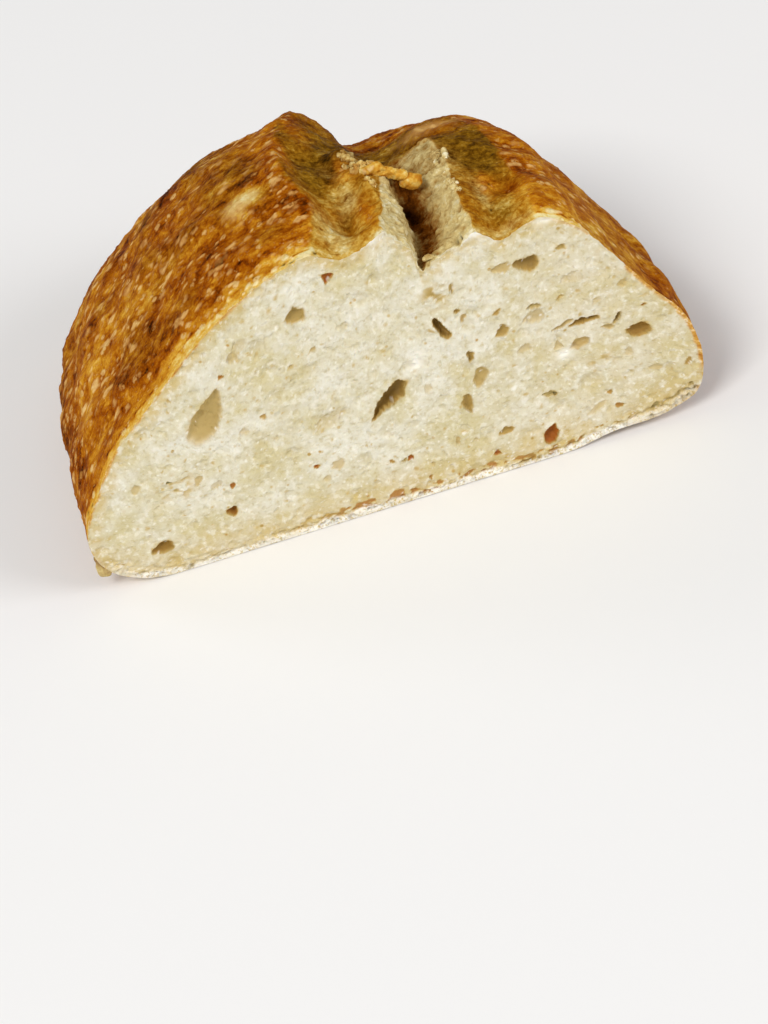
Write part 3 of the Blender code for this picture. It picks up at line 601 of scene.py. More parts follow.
def raise_blisters(skin):
    """Notes the blisters: round swellings of two sizes, in clusters, with thin browner seams between them.
    Their flaked tops are level and paler, with ragged edges; the paleness is partly painted highlight. The far
    right is sleek, and along the cut a frill of small bubbles burst."""
    p, depth, crusty = skin.p, skin.depth, skin.crusty
    skin.wavy = p + 0.6 * jitter(p, 2.2, 90)
    ragged = skin.wavy + 0.45 * jitter(p, 0.9, 94)
    reach, number = bubbles(ragged * (1.0, 1.4, 1.0), 11, **BLISTER)
    small_reach, small_number = bubbles(ragged * (1.0, 1.4, 1.0), 21, **SMALL_BLISTER)
    clustered = fade(soft_noise(p, 8.0, 25, layers=2), -0.35, 0.35)
    swollen = np.maximum(dome(reach) * (0.35 + 0.65 * number) * (0.6 + 0.4 * clustered),
                         dome(small_reach) * (0.3 + 0.6 * small_number))
    flaky = np.maximum(
        fade(reach, 1.05, 0.35) * (0.2 + 0.8 * number) * (0.5 + 0.5 * clustered),
        fade(small_reach, 1.05, 0.35) * (0.1 + 0.9 * small_number) * (0.2 + 0.6 * clustered),
    )
    flaky = flaky * (1 - 0.4 * fade(depth, 25.0, 60.0)) + 0.4 * soft_noise(ragged, 1.3, 27, layers=2)

    beyond = right_of(skin, 30.0, 36.0)
    sleek = beyond * (1 - fade(depth, 16.0, 34.0)) * (1 - right_of(skin, 54.0, 59.0))
    sleek = np.maximum(sleek, 0.5 * beyond) * (1 - spot_on(skin, 38.0, 22.5, 5.0, 5.5))
    bare = (1 - skin.low_down) * (1 - skin.on_base) * (1 - skin.torn) * (1 + skin.paler)
    away = 1 - 0.85 * skin.near_cut
    swollen = swollen * (0.25 + 0.75 * crusty) * (1 - 0.8 * sleek) * (0.8 + 0.5 * soft_noise(p, 0.8, 26))
    skin.swollen = np.clip(swollen * bare, 0.0, 1.0) * away
    flaky = np.clip(flaky * (0.15 + 0.85 * crusty) * (1 - 0.8 * sleek) * bare, 0.0, 1.0)
    skin.flaky = flaky * (1 - 0.5 * skin.right) * away

    gap, skin.tint = cells(skin.wavy * (1.0, 1.3, 1.0), 2.2, 15)
    skin.seam = (1 - fade(gap, 0.0, 0.3)) * fade(skin.tint, 0.2, 0.8)
    skin.frill = dome(bubbles(ragged, 111, **RIM_BUBBLE)[0]) * skin.near_cut * crusty
    skin.frill *= right_of(skin, -40.0, -20.0)


def roughen(skin):
    """Moves the points along their normals by the fine relief: dents and grit, blisters and seams, the
    bloom's ripples and pits, the torn dough's shreds and burst cells, and crumbling places."""
    p = skin.p
    grit = soft_noise(p, 1.1, 41, layers=2)
    shreds = soft_noise(p * (1.0, 0.7, 1.0), 1.5, 61, layers=3)
    reach, number = bubbles(skin.wavy, 51, **BURST_CELL)
    burst = dome(reach) * (0.3 + 0.7 * number)
    rippled = soft_noise(skin.wavy, 1.5, 131, layers=3)
    pitted = dome(bubbles(skin.wavy, 135, **BLOOM_PIT)[0])
    height = RELIEF["dents"] * soft_noise(p, 7.0, 31, layers=3) + RELIEF["grit"] * grit
    height = height + RELIEF["blisters"] * skin.swollen + RELIEF["frill"] * skin.frill
    height = height - RELIEF["seams"] * skin.crusty * skin.seam * (1 - skin.on_base)
    height = height - RELIEF["char"] * skin.charred
    height = height + skin.bloom * (RELIEF["bloom ripples"] * rippled - RELIEF["bloom pits"] * pitted
                                    + RELIEF["bloom grit"] * grit)
    height = height + skin.torn * (RELIEF["shreds"] * shreds - RELIEF["burst cells"] * burst
                                   + RELIEF["torn grit"] * grit)
    height = height + skin.crumbly * (RELIEF["crumbs"] * soft_noise(p, 1.5, 141, layers=3)
                                      + RELIEF["crumb grit"] * grit)
    height = height * np.where(skin.on_base > 0, BASE_RELIEF, 1.0) * fade(skin.width, 0.0, 0.25)
    p = p + outward_normals(p) * height[..., None]
    p[..., 1] = np.maximum(p[..., 1], 0.0)
    p[0, :, 1] = 0.0
    score = slice(skin.score.start - 20, skin.score.stop + 20)
    p[0, score, 0] = np.maximum.accumulate(p[0, score, 0])
    skin.p, skin.grit, skin.shreds, skin.burst = p, grit, shreds, burst
    skin.rippled, skin.pitted = rippled, pitted


def brown(skin):
    """What the finish reads, from 0 to 1: how brown each point baked, where it blistered, tore, stayed olive,
    took flour or charred."""
    p, depth, place, wavy = skin.p, skin.depth, skin.place, skin.wavy
    patches = 0.16 * soft_noise(p, 14.0, 301, layers=3) + 0.17 * soft_noise(wavy, 4.5, 311, layers=2)
    # The swollen blister tops are painted paler, as painted highlight
    tone = 0.16 * soft_noise(wavy, 2.2, 305, layers=2) + 0.10 * (skin.tint - 0.5) - 0.08 * skin.swollen
    bake = 0.62 + patches + tone + 0.12 * skin.seam - 0.08 * skin.right - 0.03 * fade(depth, 10.0, 30.0)

    # The rim at the cut: pale yellow of uneven width, then a dark crack, then orange
    edge_noise = soft_noise(p, 2.0, 331, layers=3)
    yellow_width = np.maximum(0.45 * skin.edge_width + 1.1 * edge_noise, 0.4)
    yellow = 1 - fade(depth, 0.75 * yellow_width, 1.05 * yellow_width)
    paling = 0.24 + 0.12 * (1 - fade(depth, 0.0, 1.6)) + 0.2 * edge_noise
    rim_bake = 0.47 + 0.10 * edge_noise - paling * yellow
    bake = bake + (rim_bake - bake) * 0.85 * skin.near_cut * (1 - 0.5 * skin.right)
    crack = bell((depth - 1.05 * yellow_width) / 0.20) * skin.near_cut
    bake = bake + 0.32 * crack * fade(edge_noise + 0.3 * skin.grit, -0.1, 0.2)

    # The bloom browns less, and the torn walls are pale but for the pit between them, painted darker and
    # browner as painted shade of the deep crack
    deeper = fade(depth, 10.0, 36.0)
    bloom_bake = 0.44 + 0.9 * patches + 0.14 * skin.rippled + 0.20 * skin.pitted + 0.19 * deeper
    bloom_bake = bloom_bake - 0.08 * (1 - fade(depth, 0.0, 6.0))
    wall = 0.16 + 0.5 * patches + 0.26 * skin.burst - 0.12 * skin.shreds + 0.10 * skin.crumbly
    wall = wall + 0.16 * fade(depth, 14.0, 34.0)
    wall = wall + 0.02 * between(place, LINE["floor_right"], LINE["right_lip"], 0.5)
    wall = wall + 0.04 * between(place, LINE["left_lip"], LINE["floor_left"], 0.5)
    pit_shade = bell((place - 0.5 * (LINE["floor_left"] + LINE["floor_right"]) - 0.2) / 0.85)
    wall = wall + pit_shade * (0.66 - 0.2 * fade(depth, 18.0, 32.0)) * (0.55 + 0.45 * fade(depth, 0.5, 4.0))
    bake = bake * skin.crusty + bloom_bake * skin.bloom
    bake = bake * (1 - skin.torn) + wall * fade(depth, -0.6, 1.2) * skin.torn
    # The torn lips at the cut are painted paler: torn dough, and painted highlight where they catch the light
    lips = bell((place - LINE["left_lip"]) / 0.3) + bell((place - LINE["right_lip"]) / 0.3)
    lips = np.clip(lips, 0, 1) * (1 - fade(depth, 0.3, 1.6))

    # Olive: the bloom, and khaki patches of the crust behind the cut
    far_left = between(skin.run, run_at(-40.0), run_at(-14.0), 8.0) * fade(depth, 18.0, 34.0)
    far_left = far_left * fade(soft_noise(p, 9.0, 321, layers=2), -0.4, 0.5)
    khaki = fade(soft_noise(p, 10.0, 325, layers=3), 0.0, 0.45) * fade(depth, 5.0, 12.0) * (1 - skin.right)
    olive = skin.bloom * (0.45 + 0.5 * deeper) + skin.greener
    olive = olive + skin.crusty * (0.35 * far_left + 0.26 * khaki + 0.15 * skin.right)
    dry = 0.55 * skin.crumbly + skin.dry * skin.bloom
    skin.values = {
        "bake": np.clip(bake + skin.darker * (1 - 0.5 * skin.torn) - 0.3 * lips - 0.12 * skin.frill, 0, 1),
        "blister": np.clip(0.85 * skin.flaky + 0.8 * skin.frill + skin.milky, 0, 1),
        "torn": np.clip(np.maximum(skin.torn, 0.9 * lips) + dry, 0, 1),
        "olive": np.clip(olive * (1 - skin.torn), 0, 1),
        "flour": 0.75 * skin.low_down,
        "charred": np.clip(skin.charred, 0, 1),
        "grain": np.stack((skin.run * 0.35, depth, np.zeros(depth.shape)), axis=-1),
    }


# ---------------------------------------------------------------- the crumb

def pore_reach(x, z, pore):
    """How far a point of the cut lies from a pore's middle, 1 on the pore's rim: an ellipse whose width
    grows by 0.45 of itself from the middle to its far end, and narrows as much to its near end."""
    cx, cz, half_length, half_width, turn = pore[:5]
    turn = np.radians(turn)
    along = ((x - cx) * np.cos(turn) + (z - cz) * np.sin(turn)) / half_length
    across = ((z - cz) * np.cos(turn) - (x - cx) * np.sin(turn)) / half_width
    return np.hypot(along, across / (1 + 0.45 * np.clip(along, -1, 1)))


def foam(x, z):
    """Relief and marks of the crumb at points of the cut: how deep each lies, as the sum of pores of falling
    size, of the named pores and of rags in the torn places, and what its finish reads."""
    spot = np.stack((x, z, np.zeros(x.shape)), axis=-1)
    warp_x = x + 0.75 * soft_noise(spot, 2.0, 71, layers=3) + 0.1 * soft_noise(spot, 0.8, 75)
    warp_z = z + 0.75 * soft_noise(spot, 2.0, 81, layers=3) + 0.1 * soft_noise(spot, 0.8, 85)
    warped = np.stack((warp_x, warp_z, np.zeros(x.shape)), axis=-1)
    wide_reach, wide_number = bubbles(warped, 91, **WIDE_CELL)
    wide = dome(wide_reach) * (0.4 + 0.6 * wide_number)
    middling_reach, middling_number = bubbles(warped, 101, **MIDDLING_CELL)
    middling = dome(middling_reach) * (0.4 + 0.6 * middling_number)
    fine = dome(bubbles(warped, 111, **FINE_CELL)[0])
    wavering = 0.175 + 0.0875 * np.sin(0.7 * x + 0.4 * z) + 0.0875 * np.sin(0.9 * z - 0.5 * x + 1.0)
    fluff = soft_noise(spot, 2.4, 121, layers=3)
    rags = soft_noise(spot * (0.6, 1.0, 1.0), 1.0, 141, layers=2)
    depth = wavering + 0.20 * fluff + 0.40 * wide + 0.20 * middling + 0.07 * fine
    # cell: painted shade in the hollows of the crumb's cells
    cell = 0.35 * wide + 0.35 * middling + 0.20 * fine

    # Small tan marks a few millimetres apart, and pale specks that are painted glints
    speck_reach, speck_number = bubbles(warped, 181, **TAN_SPECK)
    brown = 0.42 * dome(speck_reach) * fade(speck_number, 0.1, 0.9)
    warmth = 0.55 + 0.35 * soft_noise(spot, 3.0, 131, layers=2)
    bright = 0.9 * dome(bubbles(warped, 191, **PAINTED_GLINT_SPECK)[0])
    for pore in PORES + DOTS:
        reach = pore_reach(warp_x, warp_z, pore)
        hollow = np.sqrt(np.clip(1 - reach**2, 0.0, 1.0))
        stain = fade(1.22 - reach, 0.0, 0.4)
        depth = depth + pore[5] * hollow
        # painted shade, deeper in the deeper pores
        cell = cell + 0.5 * hollow * min(1.0, pore[5])
        warmth = warmth + (0.88 * pore[7] - warmth) * stain
        brown = np.maximum(brown, pore[6] * (0.85 + 0.5 * pore[6]) * stain)
    # torn: ragged torn places, painted bright as painted highlight
    grey, torn = spots_at(x, z, GREY_PATCHES), spots_at(x, z, PAINTED_TORN_HIGHLIGHTS)
    depth = depth + 0.35 * grey * rags + 0.25 * torn * rags

    # The base cut through: white flour on top of thin browned layers, and a floury lower right corner
    above = z - np.interp(x, BASE_EDGE[:, 0], BASE_EDGE[:, 1])
    layered = soft_noise(spot * (0.25, 1.0, 1.0), 0.8, 161, layers=2)
    thick = 1.9 + 0.7 * soft_noise(spot * (1.0, 0.0, 0.0), 4.0, 171, layers=3)
    thick = thick - 0.7 * (1 - fade(x, -52.0, -20.0))
    tangled = soft_noise(spot * (0.7, 1.0, 1.0), 0.75, 165, layers=2)
    flour = 1 - fade(above + 0.5 * layered + 0.8 * tangled, 0.5 * thick, 0.9 * thick)
    flour = flour * fade(x, -60.0, -50.0)
    corner = fade(x, 41.0, 53.0) * (1 - fade(above + 1.4 * fluff, 1.6, 6.0))
    flour = np.clip(flour * (0.95 + 0.5 * layered) * (1 - 0.6 * corner), 0, 1)
    toasted = between(above + 0.7 * layered - 0.8 * tangled, 0.5 * thick, 1.3 * thick, 0.4)
    toasted = toasted * fade(x, -34.0, -6.0) * (1 - fade(x, 40.0, 50.0)) * fade(rags + tangled, -0.1, 0.2)
    warmth = np.clip(warmth + 0.25 * toasted - 0.4 * grey - 0.6 * corner, 0, 1)
    brown = np.maximum(brown, 0.68 * toasted)
    brown = np.maximum(brown, 0.6 * grey * fade(rags, -0.1, 0.4))
    brown = np.maximum(brown, corner * (0.10 + 0.45 * fade(rags, 0.1, 0.4)))
    near_base = 1 - fade(above, 0.8, 4.0)
    depth = depth + near_base * (0.3 * layered + 0.4 * rags + 0.6 * tangled + 0.25) + 0.5 * corner * rags
    # low: yellower and darker towards the base, and painted shade darkening the crumb towards the right
    low = (1 - fade(above, 0.0, 12.0)) * (1 - 0.5 * fade(x, 20.0, 40.0)) + 0.34 * fade(x, 10.0, 45.0)
    values = {
        # painted shade of cells and pores
        "cell": np.clip(cell, 0, 1),
        "brown": np.clip(brown, 0, 1),
        "warmth": warmth,
        "low": np.clip(low * (0.8 + 0.6 * fluff), 0, 1),
        "flour": flour,
        "bright": np.clip(bright + torn * (0.9 + 0.6 * rags), 0, 1),
    }
    return np.maximum(depth, 0.0), values


def crumb_grid(skin):
    """The cut face: rings from the skin's rim in to a level line. Each ring point lies on the straight way
    from its rim point to its point of the line; its normal comes from the slope of the relief there."""
    rim = skin.p[0]
    columns = np.arange(skin.columns)
    middle_x = np.empty(skin.columns)
    first, last = skin.spine[0], skin.spine[-1]
    top_end = skin.base_start
    middle_x[:top_end + 1] = np.clip(np.interp(columns[:top_end + 1], skin.spine, skin.spine_x),
                                     skin.spine_x[0], skin.spine_x[-1])
    middle_x[top_end + 1:] = skin.spine_x[0]
    middle_x[skin.spine_mirror] = skin.spine_x[::-1]
    middle_x[top_end + 1:skin.spine_mirror[0]] = skin.spine_x[-1]
    t = np.linspace(1.0, 0.0, CRUMB_RINGS + 1)[:, None]
    x = middle_x + (rim[:, 0] - middle_x) * t
    z = SPINE_HEIGHT + (rim[:, 2] - SPINE_HEIGHT) * t
    from_rim = (1 - t) * np.hypot(rim[:, 0] - middle_x, rim[:, 2] - SPINE_HEIGHT)
    settle = fade(from_rim, 0.0, 0.9)

    depth, values = foam(x, z)
    slope_x = (foam(x + SLOPE_STEP, z)[0] - depth) / SLOPE_STEP * settle
    slope_z = (foam(x, z + SLOPE_STEP)[0] - depth) / SLOPE_STEP * settle
    normals = np.stack((slope_x, -np.ones(x.shape), slope_z), axis=-1)
    normals /= np.linalg.norm(normals, axis=-1, keepdims=True)
    points = np.stack((x, depth * settle, z), axis=-1)

    # The crust cut through: a thin baked band inside the rim, broken here and there, none along the tear
    spot = np.stack((x, z, np.zeros(x.shape)), axis=-1)
    broken = soft_noise(spot, 4.0, 151, layers=3)
    band = np.clip(0.6 + 0.8 * broken + 0.5 * fade(x, 50.0, 57.0) * fade(z, 9.0, 14.0), 0.05, 2.0)
    tear = bell((x - 11.0) / 17.0)**0.5 * fade(z, 38.0, 48.0)
    crust = (1 - fade(from_rim, 0.3 * band, band)) * fade(z, 2.0, 6.0) * (1 - np.clip(1.6 * tear, 0, 1))
    ragged = soft_noise(spot, 1.2, 155, layers=2)
    right_rim = fade(x, 50.0, 56.0) * fade(z, 9.0, 12.0) * (1 - fade(from_rim + 0.35 * ragged, 0.6, 1.0))
    values["crust"] = np.clip(np.maximum(crust * fade(broken + 0.6 * ragged, -0.45, 0.1), right_rim), 0, 1)
    values["near_crust"] = np.clip((1 - fade(from_rim, 0.4, 4.6)) * (0.8 + 0.9 * ragged)
                                   * (1 - 0.5 * fade(x, 30.0, 45.0)), 0, 1)
    values["bright"] = np.clip(values["bright"] * (1 - values["crust"]), 0, 1)

    index = np.arange(x.size).reshape(x.shape)
    last_ring = index[-1].copy()
    index[-1, :top_end + 1] = last_ring[np.clip(columns[:top_end + 1], first, last)]
    index[-1, top_end + 1:] = last_ring[first]
    index[-1, skin.spine_mirror] = last_ring[skin.spine[::-1]]
    index[-1, top_end + 1:skin.spine_mirror[0]] = last_ring[last]
    index = np.hstack((index, index[:, :1]))[::-1]
    return points, normals, index, values


# ---------------------------------------------------------------- meshes

def triangles_of(index):
    """Two triangles for each cell of a grid of point numbers, without those that have no width."""
    a, b, c, d = index[:-1, :-1], index[:-1, 1:], index[1:, 1:], index[1:, :-1]
    both = np.concatenate((np.stack((a, b, c), -1).reshape(-1, 3), np.stack((a, c, d), -1).reshape(-1, 3)))
    thin = (both[:, 0] == both[:, 1]) | (both[:, 1] == both[:, 2]) | (both[:, 2] == both[:, 0])
    return both[~thin]


def make_piece(name, points, normals, triangles, values, chart, material):
    """One mesh from arrays: points in millimetres, triangles, values that the finish reads and a flat
    chart of the surface for its texture map."""
    used, numbers = np.unique(triangles, return_inverse=True)
    triangles = numbers.reshape(-1, 3)
    points = points.reshape(-1, 3)[used]
    data = bpy.data.meshes.new(name)
    data.vertices.add(len(points))
    data.vertices.foreach_set("co", ((points + (0.0, CUT_Y, 0.0)) * MM).astype(np.float32).ravel())
    data.loops.add(triangles.size)
    data.loops.foreach_set("vertex_index", triangles.astype(np.int32).ravel())
    data.polygons.add(len(triangles))
    data.polygons.foreach_set("loop_start", np.arange(0, triangles.size, 3, dtype=np.int32))
    data.update(calc_edges=True)
    data.shade_smooth()
    for label, value in values.items():
        if value.ndim == 3:
            layer = data.attributes.new(label, "FLOAT_VECTOR", "POINT")
            layer.data.foreach_set("vector", value.reshape(-1, 3)[used].astype(np.float32).ravel())
        else:
            layer = data.attributes.new(label, "FLOAT", "POINT")
            layer.data.foreach_set("value", value.reshape(-1)[used].astype(np.float32))
    chart = chart.reshape(-1, 2)[used]
    chart = (chart - chart.min(axis=0)) / np.ptp(chart, axis=0) * 0.98 + 0.01
    layer = data.uv_layers.new(name="OFBake")
    layer.uv.foreach_set("vector", chart[triangles.ravel()].astype(np.float32).ravel())
    if normals is not None:
        data.normals_split_custom_set_from_vertices(normals.reshape(-1, 3)[used])
    data.materials.append(material)
    piece = bpy.data.objects.new(name, data)
    bpy.context.scene.collection.objects.link(piece)
    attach(piece, "root")
    return piece


def fit_in_box(points):
    """Shrinks an array of points, by a hair, to lie inside the solid's box."""
    low = np.array(CAD_BOX[0]) / MM - (0.0, CUT_Y, 0.0)
    high = np.array(CAD_BOX[1]) / MM - (0.0, CUT_Y, 0.0)
    flat = points.reshape(-1, 3)
    middle = (flat.min(axis=0) + flat.max(axis=0)) / 2
    scale = np.minimum(1.0, (high - low) * BOX_SHARE / np.ptp(flat, axis=0))
    half = np.ptp(flat, axis=0) * scale / 2
    return (points - middle) * scale + np.clip(middle, low + half, high - half)


# ---------------------------------------------------------------- materials

def linear(colour):
    """Linear light of an sRGB hex colour."""
    parts = np.array([int(colour[i:i + 2], 16) for i in (0, 2, 4)]) / 255
    parts = np.where(parts <= 0.04045, parts / 12.92, ((parts + 0.055) / 1.055)**2.4)
    return (*parts, 1.0)


def add(tree, kind, settings=None, **inputs):
    """Adds a shader node. Settings go on the node; a plain string is its operation. Inputs are values,
    sockets or nodes, which stand for their first output, by socket name, with _ for a space, or by number
    after an n. A ramp's stops are given as settings["stops"]."""
    node = tree.nodes.new("ShaderNode" + kind)
    if isinstance(settings, str):
        settings = {"operation": settings}
    for key, value in (settings or {}).items():
        if key == "stops":
            ramp = node.color_ramp
            while len(ramp.elements) < len(value):
                ramp.elements.new(0.5)
            for element, (place, colour) in zip(ramp.elements, value):
                element.position = place
                element.color = linear(colour)
        else:
            setattr(node, key, value)
    for key, value in inputs.items():
        number = key[1:] if key[0] == "n" and key[1:].isdigit() else None
        socket = node.inputs[int(number)] if number else node.inputs[key.replace("_", " ")]
        if isinstance(value, bpy.types.Node):
            value = value.outputs[0]
        if isinstance(value, bpy.types.NodeSocket):
            tree.links.new(value, socket)
        else:
            socket.default_value = value
    return node


def new_material(name):
    """An empty material, and the tree to build it in."""
    material = bpy.data.materials.new(name)
    material.use_nodes = True
    tree = material.node_tree
    tree.nodes.clear()
    return material, tree


def baked_crust():
    """Crust of a hearth-baked wheat loaf: a thin skin, browned and glazed by its own starch as it baked, so
    it is satin, blistered paler where it swelled, and dull where the dough tore or took flour. Its glints
    are painted highlights in the colour, on the pale flakes."""
    material, tree = new_material("hearth_baked_crust")
    place = add(tree, "TexCoord").outputs["Object"]
    grain = add(tree, "Attribute", {"attribute_name": "grain"}).outputs["Vector"]
    read = {label: add(tree, "Attribute", {"attribute_name": label}).outputs["Fac"]
            for label in ("bake", "blister", "torn", "olive", "flour", "charred")}
    patches = add(tree, "TexNoise", Vector=place, Scale=1 / (BROWNED_PATCH * MM), Detail=3.0, Roughness=0.6)
    speckle = add(tree, "TexNoise", Vector=place, Scale=1 / (SKIN_SPECKLE * MM), Detail=3.0, Roughness=0.65)
    bent = add(tree, "VectorMath", "MULTIPLY_ADD", n0=patches.outputs["Color"],
               n1=(PIMPLE_STRAY * MM,) * 3, n2=place)
    pimples = add(tree, "TexVoronoi", Vector=bent, Scale=1 / (PIMPLE_SPACING * MM))
    raised = add(tree, "MapRange", {"interpolation_type": "SMOOTHSTEP"}, Value=pimples,
                 From_Min=0.50, From_Max=0.16)
    kept = add(tree, "MapRange", Value=pimples.outputs["Color"], From_Min=0.30, From_Max=0.72)
    broken = add(tree, "MapRange", Value=speckle, From_Min=0.38, From_Max=0.52, To_Min=0.35)
    for share in (kept, broken):
        raised = add(tree, "Math", "MULTIPLY", n0=raised, n1=share)
    streaks = add(tree, "TexNoise", Vector=grain, Scale=1 / STREAK, Detail=3.0, Roughness=0.6)
    streaks = add(tree, "Math", "SUBTRACT", n0=streaks, n1=0.5)
    streaky = add(tree, "MapRange", Value=read["olive"], To_Min=1.0, To_Max=0.2)
    streaks = add(tree, "Math", "MULTIPLY", n0=streaks, n1=streaky)

    # How brown: the baked-in value, moved by the fine patterns
    brown = add(tree, "Math", "MULTIPLY_ADD", n0=streaks, n1=0.16, n2=read["bake"])
    brown = add(tree, "Math", "MULTIPLY_ADD", n0=raised, n1=-0.10, n2=brown)
    uneven = add(tree, "MapRange", Value=read["olive"], To_Min=0.60, To_Max=0.85)
    for noise in (patches, speckle):
        shift = add(tree, "Math", "SUBTRACT", n0=noise, n1=0.5)
        brown = add(tree, "Math", "MULTIPLY_ADD", n0=shift, n1=uneven, n2=brown)
    skin = add(tree, "ValToRGB", {"stops": (
        (0.0, "EBDCA0"), (0.15, "E2BE62"), (0.30, "D6A034"), (0.45, "C2801A"), (0.60, "A85F08"),
        (0.75, "8C4200"), (0.90, "5E2600"), (1.0, "2A0E00"))}, Fac=brown)
    olive_skin = add(tree, "ValToRGB", {"stops": (
        (0.0, "DCD09C"), (0.25, "BE9E4C"), (0.5, "906614"), (0.75, "644006"), (1.0, "301C00"))}, Fac=brown)
    tan = add(tree, "ValToRGB", {"stops": ((0.1, "F0DCA4"), (0.5, "E2B772"), (0.9, "BC8038"))}, Fac=brown)
    dough = add(tree, "ValToRGB", {"stops": (
        (0.0, "EFE5C0"), (0.2, "D6C286"), (0.5, "A8864A"), (0.75, "74400C"), (1.0, "3A1A04"))}, Fac=brown)

    # Where the skin flaked, paler partly as painted highlight and with painted glints, or took flour
    painted_crust_glints = add(tree, "MapRange", Value=speckle, From_Min=0.60, From_Max=0.72, To_Max=0.35)
    puffed = add(tree, "Math", "MULTIPLY_ADD", n0=raised, n1=0.7, n2=painted_crust_glints)
    crisp = add(tree, "MapRange", Value=read["olive"], From_Max=0.4, To_Min=1.0, To_Max=0.0)
    puffed = add(tree, "Math", "MULTIPLY", n0=puffed, n1=crisp)
    puffed = add(tree, "Math", "MAXIMUM", n0=puffed, n1=read["blister"])
    flaked = add(tree, "Math", "MULTIPLY_ADD", n0=speckle, n1=0.5, n2=puffed)
    flaked = add(tree, "MapRange", Value=flaked, From_Min=0.38, From_Max=0.74, To_Max=0.80)
    dusted = add(tree, "MapRange", Value=speckle, From_Min=0.35, From_Max=0.6, To_Min=0.35, To_Max=1.0)
    dusted = add(tree, "Math", "MULTIPLY", n0=dusted, n1=read["flour"])
    colour = add(tree, "Mix", {"data_type": "RGBA"}, Factor=read["olive"], n6=skin, n7=olive_skin)
    for share, over in ((flaked, tan), (read["torn"], dough), (dusted, linear("DDD3BC")),
                        (read["charred"], linear("1C1006"))):
        colour = add(tree, "Mix", {"data_type": "RGBA"}, Factor=share, n6=colour.outputs[2], n7=over)

    dull = add(tree, "Math", "MAXIMUM", n0=read["torn"], n1=read["flour"])
    rough = add(tree, "MapRange", Value=dull, To_Min=0.55, To_Max=0.85)
    height = add(tree, "Math", "MULTIPLY_ADD", n0=streaks, n1=0.7, n2=speckle)
    height = add(tree, "Math", "MULTIPLY_ADD", n0=raised, n1=0.7, n2=height)
    bump = add(tree, "Bump", Strength=0.9, Distance=CRUST_BUMP * MM, Height=height)
    # The glaze mirrors next to nothing: at grazing angles it would veil the brown with the pale surround
    surface = add(tree, "BsdfPrincipled", Base_Color=colour.outputs[2], Roughness=rough, Normal=bump,
                  IOR=1.47, Specular_IOR_Level=0.01)
    add(tree, "OutputMaterial", Surface=surface)
    return material


